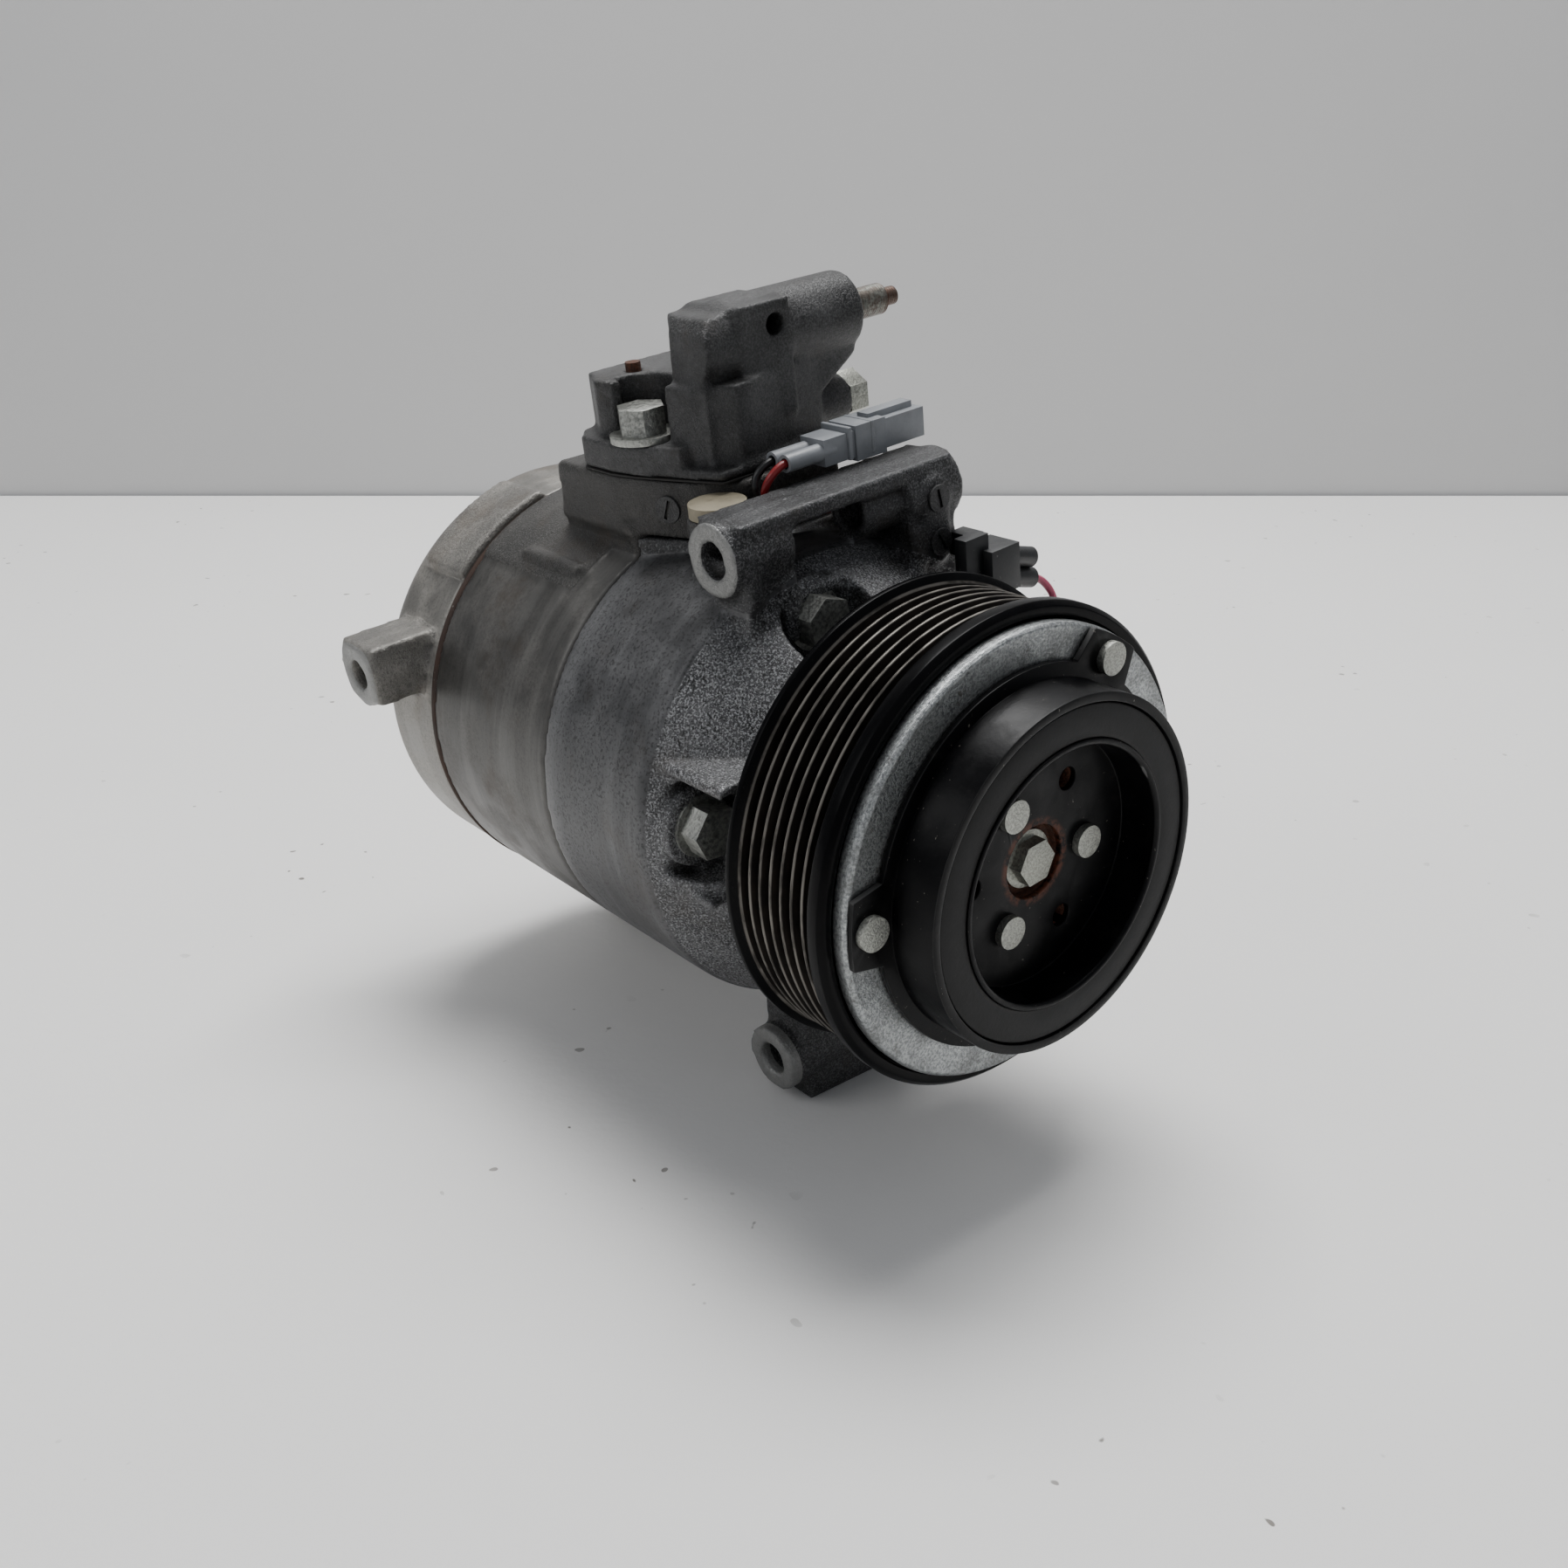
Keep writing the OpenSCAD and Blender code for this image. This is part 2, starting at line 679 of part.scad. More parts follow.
module port_holes(z0, z1) {
    at_spot([suction_x, port_y], z0) cylinder(r = suction_r, h = z1 - z0, $fn = small_fn);
    at_spot([discharge_x, port_y], z0) cylinder(r = discharge_r, h = z1 - z0, $fn = small_fn);
}

module ear_tube(y, z, x0, x1) {
    translate([0, y, z]) rod_x(ear_r, x0, x1);
}

module upper_bracket() {
    bar_half = 8;
    bar_top = upper_ear_z + ear_r - 0.4;
    bar_under = bar_top - 4.3;
    leg_y0 = upper_ear_y - 8;
    leg_y1 = upper_ear_y + 5;
    leg_x = [[upper_ear_x0 + 3, -12], [25, upper_ear_x1 - 2.5]];
    pad_x = leg_x[1][0] + 8.5;
    translate([leg_x[0][0], upper_ear_y - bar_half, bar_under])
        cube([leg_x[1][1] - leg_x[0][0], 2 * bar_half, bar_top - bar_under]);
    for (x = leg_x) translate([x[0], leg_y0, 40]) cube([x[1] - x[0], leg_y1 - leg_y0, bar_top - 41]);
    ear_tube(upper_ear_y, upper_ear_z, upper_ear_x0, leg_x[0][1]);
    ear_tube(upper_ear_y, upper_ear_z, leg_x[1][0], upper_ear_x1);
    translate([0, upper_ear_y, upper_ear_z]) rod_x(7, 12, 26);
    for (z = [upper_ear_z - 13, upper_ear_z + 0.5]) translate([pad_x, leg_y0, z])
        rotate([90, 0, 0]) cylinder(r = 4.6, h = 1.6, $fn = small_fn);
}

module lower_bracket() {
    foot_w = lower_ear_x1 - lower_ear_x0 - 12;
    intersection() {
        union() {
            ear_tube(lower_ear_y, -lower_ear_z, lower_ear_x0, lower_ear_x1);
            translate([lower_ear_x0 + 6, lower_ear_y - 8, -axis_height - 6])
                cube([foot_w, 16, axis_height - 44]);
        }
        level_floor();
    }
}

dome = [
    [nose_r + 4, coil_face], [body_r - 20, coil_face], [body_r - 16, coil_face + 5], [body_r - 11,
        coil_face + 11],
    [body_r - 5.5, cone_end - 8.2], [body_r - 0.6, cone_end - 0.6], [body_r, cone_end]
];

module front_housing() {
    color("#85878a") place() difference() {
        union() {
            turned(concat([[0, nose_front]], [[nose_r, nose_front], [nose_r, coil_face], [nose_r + 4,
                coil_face]],
                dome, [[body_r, block_front], [0, block_front]]));
            upper_bracket();
            lower_bracket();
            slab([[-22, block_front], [-8, 50], [24, 50], [30, block_front]], 45, body_r + 0.8);
            at_spot(plug_place, 45) cylinder(r = 7.8, h = body_r + 10.4 - 45, $fn = small_fn);
            at_spot(sensor_place, 35) cylinder(r = 7.5, h = body_r + 1.6 - 35, $fn = small_fn);
        }
        rod_y(nose_bore_r, nose_front - past, 4);
        rod_y(needle_r - 2, 3, nose_wall + past);
        rod_y(needle_r, 8, nose_wall + past);
        rod_y(30, nose_wall, chamber_front + past);
        rod_y(chamber_r, chamber_front, block_front + past);
        ring_y(nose_r - 1, nose_r + past, bearing_front - 1.8, bearing_front);
        ring_y(nose_r - 1, nose_r + past, coil_face - 3.8, coil_face - 2);
        through_bolt_places() {
            rod_y(bolt_r + 0.4, 0, block_front + past, small_fn);
            rod_y(9.4, coil_face - 20, bolt_seat_y, small_fn);
        }
        translate([0, upper_ear_y, upper_ear_z])
            rod_x(ear_bore_r, upper_ear_x0 - past, upper_ear_x1 + past);
        translate([0, lower_ear_y, -lower_ear_z])
            rod_x(ear_bore_r, lower_ear_x0 - past, lower_ear_x1 + past);
        at_spot(plug_place, body_r + 4) cylinder(r = 5.5, h = 20, $fn = small_fn);
        at_spot(sensor_place, body_r - 12) cylinder(r = 4 + press_gap, h = 40, $fn = small_fn);
    }
}

module cylinder_block() {
    color("#8b8c8d") place() difference() {
        union() {
            rod_y(body_r, block_front, block_back);
            intersection() {
                rod_y(body_r + 1.2, block_front + 12, block_back);
                translate([-36, block_front + 12, 30]) cube([80, block_len, 50]);
            }
            slab(pad_outline, body_r + 1.2, joint_z);
            slab([[-22, block_front + cut], [34, block_front + cut], [34, 112], [-22, 112]], 40,
                body_r + 3);
        }
        for (i = [0:piston_count - 1]) at_angle(piston_angle + piston_step * i, bore_pitch_r)
            rod_y(bore_r, block_front - past, block_back + past);
        rod_y(15, block_front - past, block_front + 4.5);
        rod_y(needle_r, block_front - past, block_front + 22);
        rod_y(10, block_front, block_front + 31);
        ring_y(body_r - 6, body_r - 3, block_front - past, block_front + 2);
        through_bolt_places() rod_y(bolt_r + 0.4, block_front - past, block_back + past, small_fn);
        at_spot(manifold_bolt_place, joint_z - 14) cylinder(r = 4 + press_gap, h = 20, $fn = small_fn);
        port_holes(joint_z - 14, joint_z + past);
    }
}

module rear_housing() {
    chamber_back = gasket_back + 20;
    valve_z = control_valve_z;
    valve_y = gasket_back + 15;
    rear_foot_x = -4;
    rear_foot_w = 38;
    color("#8a8b8a") place() difference() {
        union() {
            turned([[0, gasket_back], [body_r, gasket_back], [body_r, body_back - 5], [body_r - 1.5,
                body_back - 1.5],
                    [body_r - 5, body_back], [0, body_back]]);
            intersection() {
                rod_y(body_r + 2.4, gasket_back, body_back - 6);
                union() {
                    at_angle(113, 0) translate([20, gasket_back - past, -12]) cube([60, 22, 34]);
                    at_angle(38, 0) translate([20, gasket_back - past, -15]) cube([60, 22, 30]);
                }
            }
            translate([0, lug_y, lug_z]) rod_x(lug_r, -lug_reach, -40);
            translate([-lug_reach + 1, lug_y - 9, lug_z - 8]) cube([34, 18, 17]);
            intersection() {
                translate([rear_foot_x, gasket_back + 2, -axis_height - 8])
                    cube([rear_foot_w, 17, axis_height - 46]);
                level_floor();
            }
        }
        rod_y(body_r - 7, gasket_back - past, gasket_back + 4);
        difference() {
            ring_y(27, body_r - 9, gasket_back, chamber_back);
            through_bolt_places() rod_y(8, gasket_back, body_back);
            translate([0, valve_y, valve_z]) rod_x(12, 0, body_r);
        }
        rod_y(21, gasket_back, chamber_back);
        through_bolt_places() rod_y(bolt_r + press_gap, gasket_back - past, chamber_back - 0.5, small_fn);
        translate([0, valve_y, valve_z]) rod_x(8, 26, body_r + past);
        translate([0, lug_y, lug_z]) rod_x(lug_bore_r, -lug_reach - past, -lug_reach + 22);
    }
}

module control_valve() {
    color("#b08d45") place() translate([0, gasket_back + 15, control_valve_z]) {
        rod_x(8 - press_gap, 26.2, 50);
        rod_x(5, 50, 52.6, 6);
    }
}

module body_o_ring() {
    color("#141516") place()
        ring_y(body_r - 6 + press_gap, body_r - 3 - press_gap, block_front, block_front + 2 - press_gap);
}

module rear_gasket() {
    color("#5b3a29") place() difference() {
        rod_y(body_r - 0.3, block_back, gasket_back);
        for (i = [0:piston_count - 1]) at_angle(piston_angle + piston_step * i, bore_pitch_r)
            rod_y(bore_r - 0.5, block_back - past, gasket_back + past);
        through_bolt_places() rod_y(bolt_r + 0.4, block_back - past, gasket_back + past, small_fn);
    }
}

module valve_plate() {
    color("#9b9da0") place() difference() {
        rod_y(body_r - 7 - press_gap, gasket_back + 0.02, gasket_back + 3.4);
        through_bolt_places() rod_y(bolt_r + 0.4, gasket_back - past, gasket_back + 5, small_fn);
        for (i = [0:piston_count - 1]) for (r = [23, 41])
            at_angle(piston_angle + piston_step * i, r)
                rod_y(3, gasket_back - past, gasket_back + 5, small_fn);
    }
}

module discharge_reeds() {
    reed_t = 0.4;
    color("#c6c8ca") place() for (i = [0:piston_count - 1])
        at_angle(piston_angle + piston_step * i, 0) translate([6, gasket_back + 3.42, -3.5]) {
            cube([14.5, reed_t, 7]);
        }
}

module through_bolts() {
    bolt_end = gasket_back + 18;
    color("#75777a") place() through_bolt_places() {
        rod_y(bolt_r, bolt_seat_y - cut, bolt_end, small_fn);
        rod_y(8, bolt_seat_y - 1.6, bolt_seat_y, small_fn);
        rod_y(6.9, bolt_seat_y - 7.6, bolt_seat_y - 1.6, 6);
    }
}

// ---- Manifold ----

module manifold_gasket() {
    color("#4a4b4c") place() difference() {
        slab(manifold_outline, joint_z, joint_z + manifold_joint_t);
        at_spot(manifold_bolt_place, joint_z - past) cylinder(r = 4.5, h = 3, $fn = small_fn);
        port_holes(joint_z - past, joint_z + 2 * past);
    }
}

foot_z = joint_z + 3;
ledge_z = joint_z + 8.4;
suction_z = joint_z + 12;
valve_boss_y = 70;
valve_boss_z = joint_z + 7.5;
horn_front = horn_y - horn_r;
stud_root = 13;

// Outline of the neck and the horn seen from the front
module horn_profile() {
    under_z = manifold_top - 12;
    polygon([
        [-9.5, under_z], [-9.5, manifold_top], [-8.5, horn_z + 4], [-6, horn_z + 7.4], [-1, horn_z + 7.8],
        [2, horn_z + 9.2], [5, horn_z + horn_r], [horn_x1, horn_z + horn_r], [horn_x1, horn_z - horn_r],
        [27, under_z]
    ]);
}

module manifold_block() {
    base_z = joint_z + manifold_joint_t;
    hollow_r = 9.6;
    face_end = 18;
    color("#77787a") place() difference() {
        union() {
            slab(manifold_outline, base_z, foot_z);
            slab(ledge_outline, base_z, ledge_z);
            slab(upper_outline, base_z, manifold_top);
            intersection() {
                translate([0, horn_y + horn_r, 0]) rotate([90, 0, 0])
                    linear_extrude(2 * horn_r) horn_profile();
                union() {
                    translate([0, horn_y, horn_z]) rod_x(horn_r, -30, horn_x1);
                    translate([1.5, horn_front, 60]) cube([face_end - 1.5, 2 * horn_r, horn_z - 60 + 9]);
                    translate([-30, horn_front + 2.5, 60]) cube([34, 2 * horn_r - 2.5, horn_z - 60 + 9]);
                    translate([-30, horn_front + 4, 60]) cube([90, 2 * horn_r - 7, horn_z - 60]);
                }
            }
            translate([0, valve_boss_y, valve_boss_z]) rod_x(6.5, 20, 41);
            translate([0, port_y, suction_z]) rod_x(suction_r + 4, 20, 38);
        }
        at_spot(manifold_bolt_place, ledge_z) cylinder(r = hollow_r, h = 60, $fn = small_fn);
        at_spot(manifold_bolt_place, joint_z) cylinder(r = 4.4, h = 20, $fn = small_fn);
        translate([13, horn_front - past, horn_z + 3]) rotate([-90, 0, 0])
            cylinder(r = 2.6, h = 13, $fn = small_fn);
        translate([0, horn_y, horn_z])
            rod_x(stud_r - 0.6 + press_gap, horn_x1 - stud_root - past, horn_x1 + past);
        translate([0, valve_boss_y, valve_boss_z]) rod_x(4 + press_gap, 30, 42);
        translate([0, port_y, suction_z]) rod_x(suction_r, suction_x - suction_r, 39);
        at_spot([suction_x, port_y], joint_z)
            cylinder(r = suction_r, h = suction_z - joint_z, $fn = small_fn);
        at_spot([discharge_x, port_y], joint_z) cylinder(r = discharge_r, h = 9, $fn = small_fn);
        at_spot(pin_place, manifold_top - 10) cylinder(r = 2 + press_gap, h = 20, $fn = small_fn);
    }
}

module manifold_bolt() {
    color("#8a8d8c") place() {
        at_spot(manifold_bolt_place, joint_z - 13)
            cylinder(r = 4, h = ledge_z - joint_z + 13, $fn = small_fn);
        at_spot(manifold_bolt_place, ledge_z) cylinder(r = 8.6, h = 1.6, $fn = small_fn);
        at_spot(manifold_bolt_place, ledge_z + 1.6) cylinder(r = 6.4, h = 6.6, $fn = 6);
    }
}

module pipe_stud() {
    thread_end = horn_x1 + stud_len * 0.74;
    color("#a0a198") place() translate([0, horn_y, horn_z]) {
        rod_x(stud_r - 0.6, horn_x1 - stud_root, horn_x1);
        rod_x(stud_r, horn_x1, thread_end);
        rod_x(stud_r - 1.6, thread_end, horn_x1 + stud_len);
    }
}

module locating_pin() {
    color("#7a4a35") place() at_spot(pin_place, manifold_top - 9) cylinder(r = 2, h = 11, $fn = small_fn);
}

module relief_valve() {
    color("#b9b6ab") place() translate([0, valve_boss_y, valve_boss_z]) {
        rod_x(4, 31, 41);
        rod_x(6.4, 41, 47, 6);
    }
}

module filler_plug() {
    color("#b3a894") place() {
        at_spot(plug_place, body_r + 5) cylinder(r = 5.5 - press_gap, h = 5.4, $fn = small_fn);
        at_spot(plug_place, body_r + 10.4) cylinder(r = 7.2, h = 3.2, $fn = small_fn);
    }
}

// ---- Sensor, coil lead and their connectors ----

module speed_sensor() {
    color("#b9b1a0") place() {
        at_spot(sensor_place, body_r - 10) cylinder(r = 4, h = 12, $fn = small_fn);
        at_spot(sensor_place, body_r + 2) cylinder(r = 7.5, h = 5, $fn = small_fn);
    }
}

module sensor_connector() {
    color("#8f949a") place() translate([0, connector_y, connector_z]) difference() {
        union() {
            for (dy = [-2.4, 2.4]) translate([0, dy, 0]) rod_x(2.2, 0, 15);
            translate([11, -4.4, -3.4]) cube([11, 8.8, 6.6]);
            translate([21, -5, -4.4]) cube([10, 10, 8.8]);
            translate([30, -4.6, -3.6]) cube([14.5, 9.2, 7.4]);
            translate([28, -2, 3]) cube([15, 4, 2.4]);
        }
        for (dy = [-2.4, 2.4]) translate([0, dy, 0]) rod_x(wire_r + 0.3, -1, 11);
        translate([38, -3.4, -2.4]) cube([8, 6.8, 5]);
    }
}

// A lead follows its points with a round section of eight sides
function cross_dir(v) = let (s = cross(v, [0, 0, 1])) norm(s) < 0.1 ? [1, 0, 0] : s / norm(s);
function heading(p, i) = let (n = len(p) - 1, v = p[min(i + 1, n)] - p[max(i - 1, 0)]) v / norm(v);
module lead(p, r) {
    sides = 8;
    n = len(p);
    rings = [for (i = [0:n - 1]) let (h = heading(p, i), a = cross_dir(h), b = cross(h, a))
        for (k = [0:sides - 1]) p[i] + r * (cos(360 * k / sides) * a + sin(360 * k / sides) * b)];
    walls = [for (i = [0:n - 2]) for (k = [0:sides - 1]) for (half = [0, 1]) let (m = (k + 1) % sides)
        half == 0 ? [i * sides + k, i * sides + m, (i + 1) * sides + m]
            : [i * sides + k, (i + 1) * sides + m, (i + 1) * sides + k]];
    ends = [[for (k = [0:sides - 1]) sides - 1 - k], [for (k = [0:sides - 1]) (n - 1) * sides + k]];
    polyhedron(points = rings, faces = concat(walls, ends));
}

// A smooth route through points chosen by hand
function curve_at(a, b, c, d, t) = 0.5 * (2 * b + (c - a) * t + (2 * a - 5 * b + 4 * c - d) * t * t
    + (3 * b - a - 3 * c + d) * t * t * t);
function smooth_route(p, steps) = let (n = len(p) - 1) concat([for (i = [0:n - 1]) for (k = [0:steps - 1])
    curve_at(p[max(i - 1, 0)], p[i], p[i + 1], p[min(i + 2, n)], k / steps)], [p[n]]);

function sensor_route(dy) = [
    [10.8, 46 + dy, 81], [5, 46 + dy, 81], [-0.5, 46.4 + dy, 80.8], [-4.3, 47.2 + dy, 78],
    [-5.2, 47.6 + dy * 0.6, 74], [-3, 47.8 + dy * 0.6, 69.5], [3, 47.6 + dy * 0.6, 66.4],
    [12, 47.4 + dy * 0.6, 65.5], [20, 47.2 + dy * 0.8, 65.5], [24.5, 48.4 + dy * 0.8, 65.5],
    [sensor_place[0] - 8.2, 53.2 + dy * 0.8, 65.5]
];

module sensor_wire_black() {
    color("#121212") place() lead(smooth_route(sensor_route(2.4), 4), wire_r);
}

module sensor_wire_red() {
    color("#a8242a") place() lead(smooth_route(sensor_route(-2.4), 4), wire_r);
}

coil_plug = [44, 19, 47];
clip_face = 28;

module coil_connector() {
    color("#191a1c") place() translate(coil_plug) difference() {
        union() {
            translate([-5, -5, -6]) cube([10, 10, 12]);
            for (dz = [-2.8, 2.8]) translate([0, 0, dz]) rotate([0, 18, 0]) rod_x(2.7, 0, 15);
            translate([-11, -2, -6]) cube([8, 4, 16]);
            translate([-5.6, 1.9, 3]) cube([5, clip_face - coil_plug[1] - 1.9, 6]);
        }
        for (dz = [-2.8, 2.8]) translate([0, 0, dz]) rotate([0, 18, 0]) rod_x(wire_r + 0.3, 9, 20);
    }
}

coil_route = [
    [55, 19, 40.6], [58.5, 19, 39.5], [62, 18.6, 37.6], [64.5, 17.4, 33.5], [64, 15.6, 28.5], [60.5, 13.6,
        24],
    [55.5, 12.2, 20.6], [50.5, 11.6, 18.2], [46.5, 11.2, 16.8], [43.6, 9.9, 15.8], [42.8, 7.6, 15.6]
];

module coil_wire() {
    color("#b34a5e") place() lead(smooth_route(coil_route, 4), wire_r);
}

front_housing();
cylinder_block();
rear_housing();
manifold_block();
manifold_gasket();
manifold_bolt();
pipe_stud();
locating_pin();
relief_valve();
filler_plug();
body_o_ring();
rear_gasket();
valve_plate();
discharge_reeds();
through_bolts();
control_valve();
needle_bearings();
thrust_bearings();
shaft_seal();
seal_snap_ring();
coil_case();
coil_winding();
coil_snap_ring();
bearing_inner_ring();
bearing_balls();
bearing_snap_ring();
bearing_outer_ring();
bearing_shields();
pulley();
shaft();
hub_boss();
hub_plate();
inner_rivets();
damper_rubber();
centre_bolt();
shim_washers();
lug_plate();
drive_plate();
armature_plate();
outer_rivets();
link_arm();
tilt_sleeve();
swash_plate();
piston(0);  // piston_1
piston(1);  // piston_2
piston(2);  // piston_3
piston(3);  // piston_4
piston(4);  // piston_5
shoes(0);  // shoes_1
shoes(1);  // shoes_2
shoes(2);  // shoes_3
shoes(3);  // shoes_4
shoes(4);  // shoes_5
speed_sensor();
sensor_connector();
sensor_wire_black();
sensor_wire_red();
coil_connector();
coil_wire();
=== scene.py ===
# A belt-driven refrigerant pump with an electromagnetic clutch, built up round its CAD frame.
# The sections follow the unit as it is put together, from the bench it lies on to its wiring.
import math

import bpy
from mathutils import Matrix, Vector


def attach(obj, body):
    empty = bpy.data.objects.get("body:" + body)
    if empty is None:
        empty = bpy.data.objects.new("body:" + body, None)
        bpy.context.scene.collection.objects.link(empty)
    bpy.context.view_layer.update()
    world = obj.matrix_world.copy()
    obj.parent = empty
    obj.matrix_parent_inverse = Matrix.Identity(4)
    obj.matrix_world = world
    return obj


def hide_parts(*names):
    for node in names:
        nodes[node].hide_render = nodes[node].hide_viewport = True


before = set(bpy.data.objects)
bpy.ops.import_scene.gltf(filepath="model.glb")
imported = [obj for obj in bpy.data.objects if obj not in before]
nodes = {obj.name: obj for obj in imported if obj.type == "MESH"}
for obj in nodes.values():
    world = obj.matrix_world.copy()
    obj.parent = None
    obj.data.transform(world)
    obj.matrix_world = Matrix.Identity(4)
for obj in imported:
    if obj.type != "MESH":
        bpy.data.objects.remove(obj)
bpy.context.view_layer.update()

# ---- Bench, wall and camera ----
# A white painted board with a few crumbs of dirt on it, and a pale grey wall behind its back edge.
# Both are matt, so that they only catch the unit's soft shadow.
bpy.ops.object.select_all(action="DESELECT")
camera_data = bpy.data.cameras.new("studio_camera")
camera = bpy.data.objects.new("studio_camera", camera_data)
bpy.context.scene.collection.objects.link(camera)
camera_data.sensor_width = 36.0
camera_data.lens = 36.08
camera_data.clip_start = 0.01
camera.location = (-0.24375, -0.30667, 0.2443)
camera.rotation_mode = "QUATERNION"
view_direction = Vector((0.5913, 0.7063, -0.3893))
camera.rotation_quaternion = view_direction.to_track_quat("-Z", "Y")
bpy.context.scene.camera = camera


def tone(code):
    """A hex colour as the linear red, green, blue and alpha that the shaders take."""
    parts = [int(code[i:i + 2], 16) / 255 for i in (1, 3, 5)]
    return [c / 12.92 if c <= 0.04045 else ((c + 0.055) / 1.055) ** 2.4 for c in parts] + [1.0]


def add_node(tree, kind, settings=None, links=None):
    """Adds a shader node, sets its options or sockets by name, and links outputs into its sockets."""
    node = tree.nodes.new(kind)
    for key, value in (settings or {}).items():
        if isinstance(key, int) or key in node.inputs:
            node.inputs[key].default_value = value
        else:
            setattr(node, key, value)
    for key, source in (links or {}).items():
        tree.links.new(source, node.inputs[key])
    return node


def new_finish(name):
    """A new material: its node tree, its surface shader and the object's own coordinates."""
    material = bpy.data.materials.new(name)
    material.use_nodes = True
    tree = material.node_tree
    shader = tree.nodes["Principled BSDF"]
    place = add_node(tree, "ShaderNodeTexCoord").outputs["Object"]
    return material, tree, shader, place


def noise(tree, place, size_mm, detail=3.0, rough=0.55):
    """A cloudy pattern whose patches are about size_mm across."""
    settings = {"Scale": 1000 / size_mm, "Detail": detail, "Roughness": rough}
    return add_node(tree, "ShaderNodeTexNoise", settings, {"Vector": place}).outputs["Fac"]


def fade(tree, value, low, high, out_low=0.0, out_high=1.0):
    """Value between low and high, spread smoothly from out_low to out_high."""
    settings = {"interpolation_type": "SMOOTHSTEP", 1: low, 2: high, 3: out_low, 4: out_high}
    return add_node(tree, "ShaderNodeMapRange", settings, {0: value}).outputs[0]


def blend_tones(tree, share, first, second):
    """Two colours mixed by share; each is a hex code or another node's colour."""
    node = add_node(tree, "ShaderNodeMix", {"data_type": "RGBA"}, {0: share})
    for slot, colour in ((6, first), (7, second)):
        if isinstance(colour, str):
            node.inputs[slot].default_value = tone(colour)
        else:
            tree.links.new(colour, node.inputs[slot])
    return node.outputs[2]


def bump(tree, height, depth_mm):
    """Raises the surface by height times depth_mm."""
    return add_node(tree, "ShaderNodeBump", {"Strength": 1.0, "Distance": depth_mm / 1000},
                    {"Height": height}).outputs["Normal"]


def combine(tree, operation, first, second):
    """One value worked out from two; the second may be a plain number."""
    node = add_node(tree, "ShaderNodeMath", {"operation": operation}, {0: first})
    if isinstance(second, (int, float)):
        node.inputs[1].default_value = second
    else:
        tree.links.new(second, node.inputs[1])
    return node.outputs[0]


def times(tree, first, second):
    """The product of two values; the second may be a plain number."""
    return combine(tree, "MULTIPLY", first, second)


view_flat = Vector((view_direction.x, view_direction.y, 0)).normalized()
view_turn = math.atan2(-view_flat.x, view_flat.y)
wall_distance = 1.10
bench_size = 3.0
wall_size = 4.0
wall_lift = 1.95
wall_gap = 0.003
bench_end = Vector((camera.location.x, camera.location.y, 0)) + view_flat * wall_distance

bpy.ops.mesh.primitive_plane_add(size=bench_size, location=bench_end - view_flat * bench_size / 2,
                                 rotation=(0, 0, view_turn))
bench = bpy.context.object
bench.name = "bench_top"
matt_paint, tree, shader, place = new_finish("matt_white_paint")
clouds = noise(tree, place, 240, 2)
crumbs = fade(tree, noise(tree, place, 5.5, 1, 0.3), 0.745, 0.765)
crumb_area = fade(tree, noise(tree, place, 110, 2), 0.52, 0.66)
crumb_share = times(tree, crumbs, crumb_area)
paint = blend_tones(tree, clouds, "#eae9e7", "#f1f0ee")
tree.links.new(blend_tones(tree, crumb_share, paint, "#77726c"), shader.inputs["Base Color"])
shader.inputs["Roughness"].default_value = 0.55
shader.inputs["Specular IOR Level"].default_value = 0.35
tree.links.new(bump(tree, noise(tree, place, 4, 3), 0.12), shader.inputs["Normal"])
bench.data.materials.append(matt_paint)

bpy.ops.mesh.primitive_plane_add(size=wall_size,
                                 location=bench_end + view_flat * wall_gap + Vector((0, 0, wall_lift)),
                                 rotation=(math.pi / 2, 0, view_turn))
wall = bpy.context.object
wall.name = "back_wall"
wall_paint, tree, shader, place = new_finish("pale_grey_wall_paint")
wall_tones = blend_tones(tree, noise(tree, place, 400, 2), "#bebebe", "#c5c4c3")
tree.links.new(wall_tones, shader.inputs["Base Color"])
shader.inputs["Roughness"].default_value = 0.8
wall.data.materials.append(wall_paint)


def soft_light(name, place, target, size, power):
    """A square white soft box at place, turned to face target."""
    data = bpy.data.lights.new(name, "AREA")
    data.shape = "SQUARE"
    data.size = size
    data.energy = power
    light = bpy.data.objects.new(name, data)
    bpy.context.scene.collection.objects.link(light)
    light.location = place
    light.rotation_mode = "QUATERNION"
    light.rotation_quaternion = (Vector(target) - Vector(place)).to_track_quat("-Z", "Y")


soft_light("ceiling_box", (0.42, 0.34, 1.5), (0.1, 0.1, 0), 1.0, 46)
soft_light("side_box", (-1.3, 0.5, 1.0), (0, 0, 0.05), 0.8, 4)
room = bpy.data.worlds.new("room")
bpy.context.scene.world = room
room.use_nodes = True
room.node_tree.nodes["Background"].inputs["Color"].default_value = tone("#dfe3ea")
room.node_tree.nodes["Background"].inputs["Strength"].default_value = 0.4


# ---- Front housing ----
# Die-cast aluminium: the shaft's nose, the domed cone with its bolt pockets, and the ears.
# Its edges are rounded all over as the mould leaves them; the ears' ends are machined bright.
mm = 0.001
lean = math.radians(7.2)
shaft_line = Vector((0.00825, -0.06167, 0.088))
lay_down = Matrix.Translation(shaft_line) @ Matrix.Rotation(-lean, 4, "Y")
bolt_angle = 99
bolt_circle = 48
bolt_count = 5
turned_radius = 60.6
upright = (math.pi / 2, 0, 0)
sideways = (0, math.pi / 2, 0)


